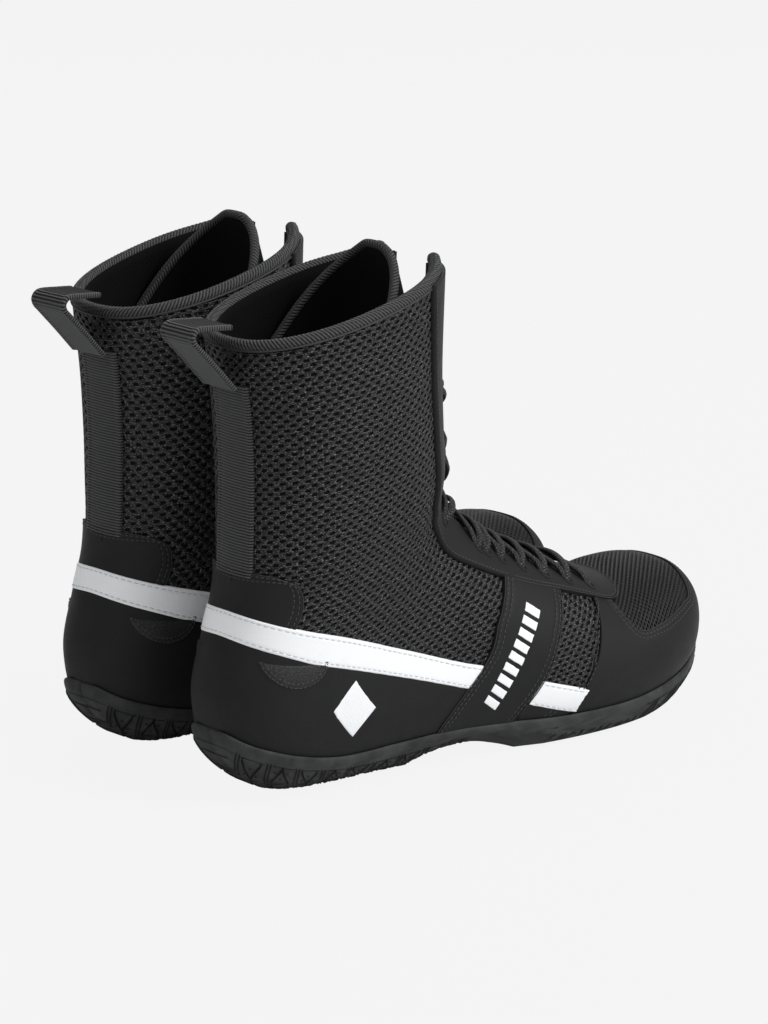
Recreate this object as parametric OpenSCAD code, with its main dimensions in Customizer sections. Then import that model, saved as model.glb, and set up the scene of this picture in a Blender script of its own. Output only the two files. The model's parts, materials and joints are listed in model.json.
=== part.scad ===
// Pair of lace-up boxing boots. Millimetres, +Z up, toes towards -Y, soles standing on z = 0.
// The wearer's right boot is at -X and the left boot is its mirror image at +X.
// Each boot is drawn in its own frame: X to the outside of the foot, Y from heel to toe, Z up.

/* [Boot] */
// Outside length of the sole from heel to toe
sole_len = 300; // [270:1:320]
// Full width of the upper across the ball of the foot
ball_w = 96; // [86:1:104]
// Height of the front tips of the collar
boot_h = 255; // [215:1:290]
// Distance between the middles of the two boots
boot_gap = 104; // [102:1:160]
// Angle by which each toe turns outward
toe_out = 1.5; // [0:0.5:3]

/* [Upper] */
// Thickness of the knitted and mesh base layer
base_t = 1.5; // [1:0.1:1.5]
// Thickness of the synthetic leather overlays
overlay_t = 1.2; // [0.8:0.1:1.4]
// Thickness of the padded lining
lining_t = 1.8; // [1:0.1:1.8]
// Thickness of the tongue
tongue_t = 3.3; // [2:0.1:4]
// Height of the padded collar binding
collar_h = 9; // [5:0.5:9]
// Width of the webbing strip up the back
strip_w = 25; // [16:1:30]
// Width of the pull loop webbing
loop_w = 24; // [16:1:28]
// Thickness of the pull loop webbing
loop_t = 1.8; // [1.2:0.1:2.2]
// Thickness of the lace
lace_d = 3.5; // [2:0.25:4]

/* [Sole] */
// Thickness of the rubber tread pads that touch the floor
tread_t = 1.2; // [0.8:0.1:1.6]
// Gap between the rear and front halves of the sole at the flex line
flex_gap = 1; // [0.6:0.1:1.4]

/* [Hidden] */
// Scale of each direction against the nominal last
len_k = sole_len / 300;
wide_k = ball_w / 96;
high_k = boot_h / 255;

// The last, as slices from the toe to the collar. Each slice is a straight line in the side view:
// its lower or back end, its upper or front end, the half widths outside and inside, and a skew
// that is above 1 where the slice is widest below its middle.
SLICES = [
    [301, 42, 301, 46, 1, 1, 1],
    [299, 32, 300, 60, 18, 19, 1.05],
    [292, 25, 294, 69.5, 31, 32, 1.1],
    [279, 18, 282, 75, 41, 40, 1.28],
    [258, 13, 262, 76, 48, 45, 1.48],
    [232, 10, 237, 74, 51, 46, 1.6],
    [205, 10, 213, 82, 51, 45, 1.6],
    [178, 11, 188, 92, 48, 41, 1.55],
    [150, 13, 166, 103, 43, 38, 1.5],
    [118, 15, 150, 114, 39, 36, 1.5],
    [80, 14, 142, 122, 36, 35, 1.45],
    [42, 13, 137, 128, 35, 35, 1.35],
    [10, 22, 134, 132, 35, 35, 1.2],
    [-0.5, 50, 132, 135, 35.5, 35.5, 1.1],
    [4, 76, 131, 138, 36, 36, 1],
    [11.5, 98, 130, 141, 37, 37, 1],
    [14.5, 116, 130, 146, 39, 39, 1],
    [15.5, 136, 130, 156, 41, 41, 1],
    [16.5, 160, 127.5, 176, 43, 43, 1],
    [15.5, 190, 126, 206, 44, 44, 1],
    [11.5, 221, 128, 246.5, 44, 44, 1],
    [8, 255, 130, 284, 44, 44, 1]];
LAST = [for (r = SLICES)
    [r[0] * len_k, r[1] * high_k, r[2] * len_k, r[3] * high_k, r[4] * wide_k, r[5] * wide_k, r[6]]];

// Seams in the side view, as [forward, up] points from the heel towards the toe. A seam that goes
// round the heel starts on the back line at a height.
function to_size(seam) = [for (p = seam) [p[0] * len_k, p[1] * high_k]];
function back_at(z, low = 11, high = 21) =
    let (m = (low + high) / 2, r = along(LAST, m))
    high - low < 0.001 ? [r[0], z] : r[1] < z ? back_at(z, m, high) : back_at(z, low, m);
function from_back(z, seam) = concat([back_at(z * high_k)], to_size(seam));
RIM = from_back(42, [[10, 36], [30, 29], [55, 24], [85, 23.5], [120, 24], [150, 22.5], [178, 20.5],
    [205, 20], [232, 20.5], [258, 23.5], [279, 28], [292, 34], [301, 43]]);
STRIPE_LOW = from_back(85.5, [[41, 72.3], [85, 58.3], [128.5, 44]]);
STRIPE_TOP = from_back(98, [[41, 88], [86, 72], [135.5, 55]]);
FOXING_LOW = from_back(41.4, [[29, 29], [60, 23.6], [117, 23.6]]);
FOXING_TOP = from_back(84.8, [[41, 71.6], [85, 57.6], [128, 43.3]]);
TAB_LOW = from_back(98.8, [[16, 97], [27, 93.8]]);
TAB_TOP = from_back(118, [[21, 117], [29, 113]]);
QUARTER_LOW = from_back(37, [[28, 26], [80, 21], [149.5, 20]]);
QUARTER_TOP = from_back(111, [[62, 111], [112, 111], [145, 111.5], [188, 90.5]]);
LINING_TOP = from_back(111, [[62, 111], [104, 111], [128, 106], [172, 82]]);
ANKLE_LOW = from_back(112.8, [[62, 112.8], [112, 113], [147, 114]]);
ANKLE_TOP = from_back(136.2, [[50, 141], [90, 147], [127, 153]]);
COUNTER_LOW = from_back(40, [[25, 30], [64, 24]]);
COUNTER_TOP = from_back(88, [[34, 80], [70, 62]]);
SADDLE_LOW = to_size([[119, 23.6], [150, 22]]);
SADDLE_TOP = to_size([[159.5, 94], [193, 80]]);
FLEX_LOW = to_size([[150.5, 20], [199, 19]]);
SOCK_EDGE = to_size([[9, 30], [28, 23.2], [60, 19.2], [90, 18.4], [120, 18], [150, 17.6], [178, 16],
    [205, 15], [232, 15.5], [258, 18.5], [279, 24.5], [289, 30]]);
FLEX_TOP = to_size([[189, 90], [213, 80.5], [236.8, 74]]);

// Depths from the outside face of the base layer: above 0 is outward
layer_gap = 0.5;
overlay_in = layer_gap;
overlay_out = layer_gap + overlay_t;
counter_in = -base_t - 1.8;
counter_out = -base_t - 0.6;
lining_out = counter_in - 0.5;
lining_in = lining_out - lining_t;
tongue_out = lining_in - 1;
tongue_in = tongue_out - tongue_t;
sock_out = -0.6;
ankle_out = -0.6;
quarter_out = -0.1;
toe_mesh_out = -0.5;
toe_cap_lift = 0.2;
strip_out = layer_gap + 1.6;
binding_out = 1.2;
binding_in = lining_in - 0.2;
lace_r = lace_d / 2;
lace_lie = overlay_out + 0.4 + lace_r;

// Girth angles: 0 is the bottom or back line, 180 the top or front line
upper_edge = 58;
throat_edge = 166;
stay_edge = 140;
window_edge = 118;

// How much closer together the columns of a band are at the heel
heel_ease = 1.5;

// Stations along the last
toe_tip = 0.9;
toe_place = len(RIM) - 1.06;
window_front = 1.3;
window_back = 4.2;
vamp_seam = [7.02, 4.74];
vamp_f = 199 * len_k;
lower_stay_fork = 6.2;
lower_stay_end = 8.75;
upper_stay_start = 8.85;
shaft_start = 17.05;
collar_start = 20.06;
collar_seat = 20.1;
collar_end = collar_seat + collar_h / 37;
strip_end = 19.45;
tongue_tip = 20.45;
tongue_bend = 18.3;
tongue_lean = 14;
// Eyelet rows of the lower and the upper lacing
LOWER_ROWS = [5.7, 6.3, 6.9, 7.5, 8.1, 8.6];
UPPER_ROWS = [8.9, 11.6, 17.3, 18.6];

// The sole
axis_f = 195 * len_k;
rim_in = 2;
rim_out = 3.6;
floor_in = 0.5;
seam_slit = 0.05;
// How far in the flat bottom's edge lies, as a share of the rim: across the heel and the ball, and
// towards the back and the toe
heel_edge = 0.35;
ball_edge = 0.85;
back_edge = 0.74;
toe_edge = 0.91;
// How far the last stands below the height it is drawn at
sink = 4;
// Lift of the sole's underside at the waist and at the toe, and how straight its side slopes in (1 is round)
waist_lift = 6.5;
toe_spring = 15;
wall_power = 1.22;

// Pull loop profile in the side view, from its lower stitching round to its upper stitching
LOOP_PATH = to_size([[7.4, 206.5], [-3, 218], [-13, 228.5], [-15.8, 231.5], [-16.5, 234.5], [-14.5, 237],
    [-11, 237.5], [-3, 236.8], [5.6, 236]]);

black_leather = [0.07, 0.07, 0.075];
black_mesh = [0.11, 0.11, 0.12];
black_knit = [0.16, 0.16, 0.17];
sole_rubber = [0.2, 0.2, 0.21];
white_trim = [0.92, 0.92, 0.92];
lace_black = [0.04, 0.04, 0.04];
board_grey = [0.5, 0.48, 0.45];

PARTS = ["outsole_rear", "outsole_front", "heel_tread", "ball_tread", "insole_rear", "insole_front",
    "heel_counter", "foot_lining", "quarter_lateral", "quarter_medial", "foxing", "stripe", "heel_tab",
    "saddle_lateral", "saddle_medial", "toe_cap", "toe_mesh", "vamp_flex", "lower_eyestay",
    "lower_tongue", "lower_lace", "ankle_panel", "shaft_mesh", "shaft_lining", "upper_eyestay",
    "upper_tongue", "upper_lace", "collar_binding", "heel_strip", "pull_loop"];

// Blend between a and b
function mix(a, b, t) = a + (b - a) * t;
function clamp(v, low, high) = min(max(v, low), high);
function signed_pow(v, p) = sign(v) * pow(abs(v), p);

// Smooth curve through the rows of a table, at place s counted in rows
function curve(p0, p1, p2, p3, t) =
    p1 + 0.5 * t * (p2 - p0 + t * (2 * p0 - 5 * p1 + 4 * p2 - p3 + t * (3 * (p1 - p2) + p3 - p0)));
function along(rows, s) =
    let (n = len(rows) - 1, c = clamp(s, 0, n - 0.0001), i = floor(c))
    curve(rows[max(i - 1, 0)], rows[i], rows[i + 1], rows[min(i + 2, n)], c - i);
function along_seam(seam, t) = along(seam, t * (len(seam) - 1));

// Share of the way from the low end of a slice to its high end, at a girth angle, and back
function rise(angle, skew) = pow(0.5 - 0.5 * signed_pow(cos(angle), 0.9), skew);
function angle_of(share, skew) = acos(clamp(signed_pow(1 - 2 * pow(share, 1 / skew), 1 / 0.9), -1, 1));

// A point of the last's surface, and one at a depth from it along the normal
function last(s, angle) =
    let (r = along(LAST, s), q = rise(angle, r[6]), k = sin(angle), w = k >= 0 ? r[4] : r[5])
    [w * signed_pow(k, 0.85), mix(r[0], r[2], q), mix(r[1], r[3], q)];
function normal(s, angle) =
    let (n = cross(last(s, angle + 3) - last(s, angle - 3), last(s + 0.05, angle) - last(s - 0.05, angle)))
    n / norm(n);
function skin(s, angle, depth) = last(s, angle) + depth * normal(s, angle);

// Station of the slice whose side-view line passes through a side-view point
function station(p, low = 0, high = len(LAST) - 1, steps = 14) =
    let (m = (low + high) / 2, r = along(LAST, m))
    steps == 0 ? m :
    (r[2] - r[0]) * (p[1] - r[1]) > (r[3] - r[1]) * (p[0] - r[0])
        ? station(p, m, high, steps - 1) : station(p, low, m, steps - 1);
function angle_at(p, s) =
    let (r = along(LAST, s), d = [r[2] - r[0], r[3] - r[1]])
    angle_of(clamp((p - [r[0], r[1]]) * d / (d * d), 0, 1), r[6]);
// Station and girth angle of a side-view point, which seams are joined by
function place(p) = let (s = station(p)) [s, angle_at(p, s)];

// Closed shell between two grids of points that have the same rows and columns. A looped shell's
// columns run all the way round an opening.
module shell(outer, inner, looped = false) {
    rows = len(outer);
    cols = len(outer[0]);
    count = rows * cols;
    cells = looped ? cols - 1 : cols - 2;
    function at(i, j) = i * cols + j % cols;
    function cell(a, b, c, d) = [[a, b, c], [a, c, d]];
    skins = [
        for (i = [0:rows - 2]) for (j = [0:cells])
            each cell(at(i, j), at(i + 1, j), at(i + 1, j + 1), at(i, j + 1)),
        for (i = [0:rows - 2]) for (j = [0:cells])
            each cell(count + at(i, j), count + at(i, j + 1), count + at(i + 1, j + 1), count + at(i + 1, j)),
        for (j = [0:cells])
            each cell(at(0, j + 1), count + at(0, j + 1), count + at(0, j), at(0, j)),
        for (j = [0:cells])
            each cell(at(rows - 1, j), count + at(rows - 1, j), count + at(rows - 1, j + 1), at(rows - 1, j + 1))];
    sides = looped ? [] : [
        for (i = [0:rows - 2])
            each cell(at(i, 0), count + at(i, 0), count + at(i + 1, 0), at(i + 1, 0)),
        for (i = [0:rows - 2])
            each cell(at(i + 1, cols - 1), count + at(i + 1, cols - 1), count + at(i, cols - 1), at(i, cols - 1))];
    polyhedron(points = concat([for (r = outer) each r], [for (r = inner) each r]), faces = concat(skins, sides));
}

// Shell between two stations and two girth angles. A slanting edge [a, b] runs from station a at
// angle 0 to station b at angle 180.
function station_grid(first, final, angles, depth, rows, cols, ease) =
    [for (i = [0:rows]) [for (j = [0:cols])
        let (angle = mix(angles[0], angles[1], j / cols), t = pow(i / rows, ease),
            q = 1 - abs(180 - abs(angle)) / 180)
        skin(mix(mix(first[0], first[1], q), mix(final[0], final[1], q), t), angle, depth)]];
module ring_shell(first, final, angles, depths, rows, cols, ease = 1) {
    shell(station_grid(first, final, angles, depths[1], rows, cols, ease),
        station_grid(first, final, angles, depths[0], rows, cols, ease));
}

// Shell between a lower and an upper seam of the side view, on one side, or all round the heel
function band_grid(low, top, span, depth, rows, cols) =
    let (stops = [for (j = [0:cols]) mix(span[0], span[1], j / cols)],
        feet = [for (u = stops) place(along_seam(low, pow(abs(u), heel_ease)))],
        heads = [for (u = stops) place(along_seam(top, pow(abs(u), heel_ease)))])
    [for (i = [0:rows]) [for (j = [0:cols])
        let (at = mix(feet[j], heads[j], i / rows)) skin(at[0], sign(stops[j]) * at[1], depth)]];
module heel_band(low, top, depths, rows, cols, span = [-1, 1]) {
    shell(band_grid(low, top, span, depths[1], rows, cols), band_grid(low, top, span, depths[0], rows, cols));
}
function panel_grid(low, top, side, depth, rows, cols) =
    let (stops = [for (j = [0:cols]) side > 0 ? j / cols : 1 - j / cols],
        feet = [for (t = stops) place(along_seam(low, t))],
        heads = [for (t = stops) place(along_seam(top, t))])
    [for (i = [0:rows]) [for (j = [0:cols])
        let (at = mix(feet[j], heads[j], i / rows)) skin(at[0], side * at[1], depth)]];
module side_panel(low, top, side, depths, rows, cols) {
    shell(panel_grid(low, top, side, depths[1], rows, cols), panel_grid(low, top, side, depths[0], rows, cols));
}

// Round cord through a list of points
module tube(path, r, sides = 5) {
    last_i = len(path) - 1;
    function heading(i) = let (d = path[min(i + 1, last_i)] - path[max(i - 1, 0)]) d / norm(d);
    function across(i) = let (c = cross(heading(i), [0.3, 0.2, 1])) c / norm(c);
    rings = [for (i = [0:last_i]) for (k = [0:sides - 1])
        path[i] + r * (cos(360 * k / sides) * across(i) + sin(360 * k / sides) * cross(heading(i), across(i)))];
    walls = [for (i = [0:last_i - 1]) for (k = [0:sides - 1])
        let (a = i * sides + k, b = i * sides + (k + 1) % sides)
        each [[a, a + sides, b + sides], [a, b + sides, b]]];
    ends = [[for (k = [0:sides - 1]) k], [for (k = [sides - 1:-1:0]) last_i * sides + k]];
    polyhedron(points = rings, faces = concat(walls, ends));
}

// One strand of lace over the throat, from a row on one side to a row on the other
module strand(from, to, side) {
    steps = 4;
    tube([for (k = [0:steps])
        let (t = k / steps, hump = 1.2 * side * sin(180 * t))
        skin(mix(from, to, t), 180 + side * mix(-27, 27, t), lace_lie + 1 + hump)], lace_r);
}
module lacing(rows) {
    for (i = [0:len(rows) - 2], side = [-1, 1]) strand(rows[i], rows[i + 1], side);
}

// Underside of the sole: flat under the heel and the ball, lifted at the waist and the toe
function underside(f) =
    let (waist = max(0, 1 - pow((f / len_k - 128) / 36, 2)), toe = max(0, f / len_k - 246) / 54)
    sink + tread_t + 0.1 + high_k * (waist_lift * waist + toe_spring * toe * toe);

// The cupped sole, from its rim in to its flat bottom: v runs from -1 to 1 across the sole
function place_at(seam, f, i = 0) =
    i >= len(seam) - 2 || seam[i + 1][0] >= f
        ? i + clamp((f - seam[i][0]) / (seam[i + 1][0] - seam[i][0]), 0, 1) : place_at(seam, f, i + 1);
function rim_place(f) = place_at(RIM, f);
function cup_row(place) = let (p = along(RIM, place)) [p[0], p[1], station(p)];
function cup_outer(row, v, tip = 0) =
    let (rim = tip == 0 ? skin(row[2], sign(v) * angle_at([row[0], row[1]], row[2]), rim_out)
            : [seam_slit * sign(v), row[0] + tip * rim_out, row[1]], mid = sole_len / 2,
        edge_f = mid + (rim[1] - mid) * (rim[1] < mid ? back_edge : toe_edge), wide = edge_wide(rim[1]),
        bottom = underside(rim[1]), a = (abs(v) - 0.5) * 180,
        out = pow(max(0, sin(a)), wall_power), down = pow(max(0, cos(a)), wall_power))
    abs(v) > 0.5
        ? [mix(rim[0] * wide, rim[0], out), mix(edge_f, rim[1], out), mix(rim[2], bottom, down)]
        : [rim[0] * wide * abs(v) * 2, edge_f, bottom];
function cup_inner(row, v) =
    skin(row[2], v * angle_at([row[0], row[1]], row[2]), mix(floor_in, rim_in, pow(abs(v), 3)));
function edge_wide(f) = mix(heel_edge, ball_edge, clamp((f / len_k - 60) / 120, 0, 1));
module sole_cup(from, to, count) {
    stops = [-1, -0.85, -0.68, -0.5, -0.25, 0.25, 0.5, 0.68, 0.85, 1];
    function eased(t) = from == 0 ? pow(t, 1.7) : 1 - pow(1 - t, 1.7);
    rows = [for (i = [count:-1:0]) cup_row(clamp(mix(from, to, eased(i / count)), 0.0002, len(RIM) - 1.0002))];
    function tip(i) = i == count && from == 0 ? -1 : i == 0 && from > 0 ? 1 : 0;
    shell([for (i = [0:count]) [for (v = stops) cup_outer(rows[i], v, tip(i))]],
        [for (r = rows) [for (v = stops) cup_inner(r, v)]]);
}

// Flat tread pad under the sole between two places along it
module tread(from, to, inset) {
    function half(f, side) = abs(cup_outer(cup_row(rim_place(f)), side)[0]) * edge_wide(f) - inset;
    middle = (from + to) / 2;
    round_end = (to - from) / 2;
    lobe = [for (a = [-75:15:75]) sin(a)];
    function width(k) = pow(1 - pow(abs(k), 3), 0.4);
    outside = [for (k = lobe) let (f = middle + round_end * k) [half(f, 1) * width(k), f]];
    inside = [for (i = [len(lobe) - 1:-1:0])
        let (f = middle + round_end * lobe[i]) [-half(f, -1) * width(lobe[i]), f]];
    translate([0, 0, sink]) linear_extrude(tread_t) polygon(concat(outside, inside));
}

module outsole_rear() {
    color(sole_rubber) sole_cup(0, rim_place(axis_f - flex_gap / 2), 12);
}

module outsole_front() {
    color(sole_rubber) sole_cup(rim_place(axis_f + flex_gap / 2), len(RIM) - 1, 9);
}

module heel_tread() {
    color(sole_rubber) tread(38 * len_k, 92 * len_k, 2);
}

module ball_tread() {
    color(sole_rubber) tread(axis_f + 4, 248 * len_k, 4);
}

// Insole between two places along its edge, from side to side under the foot
module sock(from, to, count) {
    edges = [for (i = [count:-1:0]) place(along(SOCK_EDGE, mix(from, to, i / count)))];
    function rows(depth) = [for (e = edges) [for (v = [-1:0.25:1]) skin(e[0], v * e[1], depth)]];
    color(board_grey) shell(rows(sock_out), rows(lining_in));
}

module insole_rear() {
    sock(0, place_at(SOCK_EDGE, axis_f - flex_gap / 2), 11);
}

module insole_front() {
    sock(place_at(SOCK_EDGE, axis_f + flex_gap / 2), len(SOCK_EDGE) - 1.001, 7);
}

module heel_counter() {
    color(board_grey) heel_band(COUNTER_LOW, COUNTER_TOP, [counter_in, counter_out], 6, 16);
}

module foot_lining() {
    color(black_knit) heel_band(QUARTER_LOW, LINING_TOP, [lining_in, lining_out], 8, 20);
}

module quarter(span) {
    color(black_mesh) heel_band(QUARTER_LOW, QUARTER_TOP, [-base_t, quarter_out], 8, 13, span);
}

module quarter_lateral() {
    quarter([0.004, 1]);
}

module quarter_medial() {
    quarter([-1, -0.004]);
}

module foxing() {
    color(black_leather) heel_band(FOXING_LOW, FOXING_TOP, [overlay_in, overlay_out], 5, 24);
}

module stripe() {
    color(white_trim) heel_band(STRIPE_LOW, STRIPE_TOP, [overlay_in, overlay_out - 0.2], 2, 24);
}

module heel_tab() {
    color(black_leather) heel_band(TAB_LOW, TAB_TOP, [overlay_in, overlay_out], 2, 8);
}

module saddle_lateral() {
    color(black_leather) side_panel(SADDLE_LOW, SADDLE_TOP, 1, [overlay_in, overlay_out], 6, 3);
}

module saddle_medial() {
    color(black_leather) side_panel(SADDLE_LOW, SADDLE_TOP, -1, [overlay_in, overlay_out], 6, 3);
}

// The toe cap, a frame round the window in which the toe mesh shows
module toe_cap() {
    across = 16;
    length = 8;
    square = concat(
        [for (k = [0:across - 1]) [0, k / across]], [for (k = [0:length - 1]) [k / length, 1]],
        [for (k = [0:across - 1]) [1, 1 - k / across]], [for (k = [0:length - 1]) [1 - k / length, 0]]);
    function edge(u) = let (p = along(RIM, mix(toe_place, rim_place(vamp_f), u)), at = place(p)) [at[0], at[1] - 1];
    function outside(u, v) =
        let (side = edge(u), angle = mix(side[1], 360 - side[1], v), q = 1 - abs(180 - angle) / 180)
        v == 0 || v == 1 ? [side[0], angle] : [u == 0 ? side[0] : mix(vamp_seam[0], vamp_seam[1], q), angle];
    function window(u, v) = [mix(window_front, window_back, u), mix(window_edge, 360 - window_edge, v)];
    function frame(depth) = [for (t = [0:0.25:1]) [for (c = square)
        let (at = mix(outside(c[0], c[1]), window(c[0], c[1]), t)) skin(at[0], at[1], depth)]];
    color(black_leather) shell(frame(overlay_out + toe_cap_lift), frame(overlay_in + toe_cap_lift), looped = true);
}

module toe_mesh() {
    color(black_mesh) ring_shell([toe_tip, toe_tip], vamp_seam,
        [upper_edge, 360 - upper_edge], [toe_mesh_out - base_t, toe_mesh_out], 9, 20, ease = 1.3);
}

module vamp_flex() {
    color(black_mesh) for (side = [-1, 1]) side_panel(FLEX_LOW, FLEX_TOP, side, [-base_t, 0], 5, 4);
}

module lower_eyestay() {
    depths = [overlay_in, overlay_out];
    color(black_leather) {
        ring_shell(vamp_seam + [0.12, 0.12], [lower_stay_fork, lower_stay_fork],
            [stay_edge + 6, 354 - stay_edge], depths, 2, 8);
        for (side = [-1, 1])
            ring_shell([lower_stay_fork, lower_stay_fork], [lower_stay_end, lower_stay_end],
                [180 + side * 23 - 9.5, 180 + side * 23 + 9.5], depths, 5, 2);
    }
}

module lower_tongue() {
    color(black_knit) ring_shell([5.6, 5.6], [lower_stay_end, lower_stay_end], [130, 230],
        [tongue_in, tongue_out], 4, 8);
}

module lower_lace() {
    color(lace_black) {
        lacing(LOWER_ROWS);
        strand(LOWER_ROWS[0], LOWER_ROWS[0], 1);
    }
}

module ankle_panel() {
    color(black_mesh) heel_band(ANKLE_LOW, ANKLE_TOP, [lining_in + 0.5, ankle_out], 4, 22);
}

module shaft_mesh() {
    color(black_mesh) ring_shell([shaft_start, shaft_start], [collar_start, collar_start],
        [-throat_edge, throat_edge], [-base_t, 0], 4, 24);
}

module shaft_lining() {
    color(black_knit) ring_shell([shaft_start, shaft_start], [collar_start, collar_start],
        [-152, 152], [lining_in, lining_out], 4, 20);
}

module upper_eyestay() {
    color(black_leather) for (side = [-1, 1])
        ring_shell([upper_stay_start, upper_stay_start], [collar_start, collar_start],
            [180 + side * 27 - 13, 180 + side * 27 + 13], [overlay_in, overlay_out], 14, 2);
}

module upper_tongue() {
    rows = 11;
    function leaning(depth) = [for (i = [0:rows])
        let (s = mix(upper_stay_start, tongue_tip, i / rows), lean = max(0, s - tongue_bend) / 2)
        [for (angle = [126:13.5:234]) skin(s, angle, depth - tongue_lean * lean * lean)]];
    color(black_knit) shell(leaning(tongue_out), leaning(tongue_in));
}

module upper_lace() {
    color(lace_black) {
        lacing(UPPER_ROWS);
        strand(UPPER_ROWS[3], UPPER_ROWS[3], 1);
    }
}

module collar_binding() {
    color(black_knit) ring_shell([collar_seat, collar_seat], [collar_end, collar_end],
        [-160, 160], [binding_in, binding_out], 1, 24);
}

module heel_strip() {
    spread = asin(pow(strip_w / 2 / (44 * wide_k), 1 / 0.85));
    color(black_knit) ring_shell([shaft_start + 0.03, shaft_start + 0.03], [strip_end, strip_end],
        [-spread, spread], [overlay_in, strip_out], 5, 4);
}

module pull_loop() {
    last_i = len(LOOP_PATH) - 1;
    function heading(i) = let (d = LOOP_PATH[min(i + 1, last_i)] - LOOP_PATH[max(i - 1, 0)]) d / norm(d);
    function edge(i, off) = LOOP_PATH[i] + off * [-heading(i)[1], heading(i)[0]];
    outline = concat([for (i = [0:last_i]) edge(i, loop_t / 2)], [for (i = [last_i:-1:0]) edge(i, -loop_t / 2)]);
    color(black_knit) translate([-loop_w / 2, 0, 0]) rotate([90, 0, 90]) linear_extrude(loop_w) polygon(outline);
}

// One sub-part in its own boot frame
module boot_part(part) {
    if (part == "outsole_rear") outsole_rear();
    if (part == "outsole_front") outsole_front();
    if (part == "heel_tread") heel_tread();
    if (part == "ball_tread") ball_tread();
    if (part == "insole_rear") insole_rear();
    if (part == "insole_front") insole_front();
    if (part == "heel_counter") heel_counter();
    if (part == "foot_lining") foot_lining();
    if (part == "quarter_lateral") quarter_lateral();
    if (part == "quarter_medial") quarter_medial();
    if (part == "foxing") foxing();
    if (part == "stripe") stripe();
    if (part == "heel_tab") heel_tab();
    if (part == "saddle_lateral") saddle_lateral();
    if (part == "saddle_medial") saddle_medial();
    if (part == "toe_cap") toe_cap();
    if (part == "toe_mesh") toe_mesh();
    if (part == "vamp_flex") vamp_flex();
    if (part == "lower_eyestay") lower_eyestay();
    if (part == "lower_tongue") lower_tongue();
    if (part == "lower_lace") lower_lace();
    if (part == "ankle_panel") ankle_panel();
    if (part == "shaft_mesh") shaft_mesh();
    if (part == "shaft_lining") shaft_lining();
    if (part == "upper_eyestay") upper_eyestay();
    if (part == "upper_tongue") upper_tongue();
    if (part == "upper_lace") upper_lace();
    if (part == "collar_binding") collar_binding();
    if (part == "heel_strip") heel_strip();
    if (part == "pull_loop") pull_loop();
}

// Middle of the boot from heel to toe, which stands over the frame's origin
middle_f = 143.9 * len_k;

// Stands a boot beside the other, the left one as the mirror image of the right
module placed(side) {
    mirror([side == "left" ? 1 : 0, 0, 0])
        translate([-boot_gap / 2, 0, 0]) rotate([0, 0, 180 - toe_out]) translate([0, -middle_f, -sink]) children();
}

for (side = ["right", "left"], part = PARTS)
    placed(side) boot_part(part);
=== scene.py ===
"""Looks for a pair of lace-up boxing boots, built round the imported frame.

Sizes are in millimetres in each boot's own frame (x to the outside of the foot, y from heel to toe, z up)
until to_row() stands a piece in the row frame in metres.
"""
import json
import math

import bmesh
import bpy
import numpy as np
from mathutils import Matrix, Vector

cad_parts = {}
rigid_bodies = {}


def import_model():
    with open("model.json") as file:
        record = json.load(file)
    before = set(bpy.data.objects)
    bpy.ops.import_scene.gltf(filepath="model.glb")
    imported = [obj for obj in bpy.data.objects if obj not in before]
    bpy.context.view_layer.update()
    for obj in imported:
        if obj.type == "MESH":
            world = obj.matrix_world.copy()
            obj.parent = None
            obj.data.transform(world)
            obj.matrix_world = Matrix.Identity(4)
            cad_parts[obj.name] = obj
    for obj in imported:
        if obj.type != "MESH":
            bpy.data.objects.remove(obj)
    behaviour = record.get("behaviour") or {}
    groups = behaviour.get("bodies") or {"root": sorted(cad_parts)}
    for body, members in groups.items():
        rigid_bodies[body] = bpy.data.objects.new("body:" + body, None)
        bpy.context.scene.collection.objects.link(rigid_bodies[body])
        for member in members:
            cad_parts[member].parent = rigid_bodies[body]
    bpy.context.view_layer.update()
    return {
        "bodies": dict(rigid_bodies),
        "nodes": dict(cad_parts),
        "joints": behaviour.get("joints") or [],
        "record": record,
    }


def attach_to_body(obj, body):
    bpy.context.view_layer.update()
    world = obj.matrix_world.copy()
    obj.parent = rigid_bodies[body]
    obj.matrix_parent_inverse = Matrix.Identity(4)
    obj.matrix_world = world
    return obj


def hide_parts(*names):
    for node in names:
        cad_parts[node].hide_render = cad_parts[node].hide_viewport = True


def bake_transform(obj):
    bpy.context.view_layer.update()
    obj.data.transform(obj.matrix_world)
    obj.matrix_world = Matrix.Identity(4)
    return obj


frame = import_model()

SIDES = ("right", "left")
MM = 0.001
BOOT_GAP = 104
# How many degrees each boot's toe points outward
TOE_OUT = 1.5
BOOT_MIDDLE = 143.9
# How far each boot stands below the height it is drawn at
SINK = 4

# ---------------------------------------------------------------- the last

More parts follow.
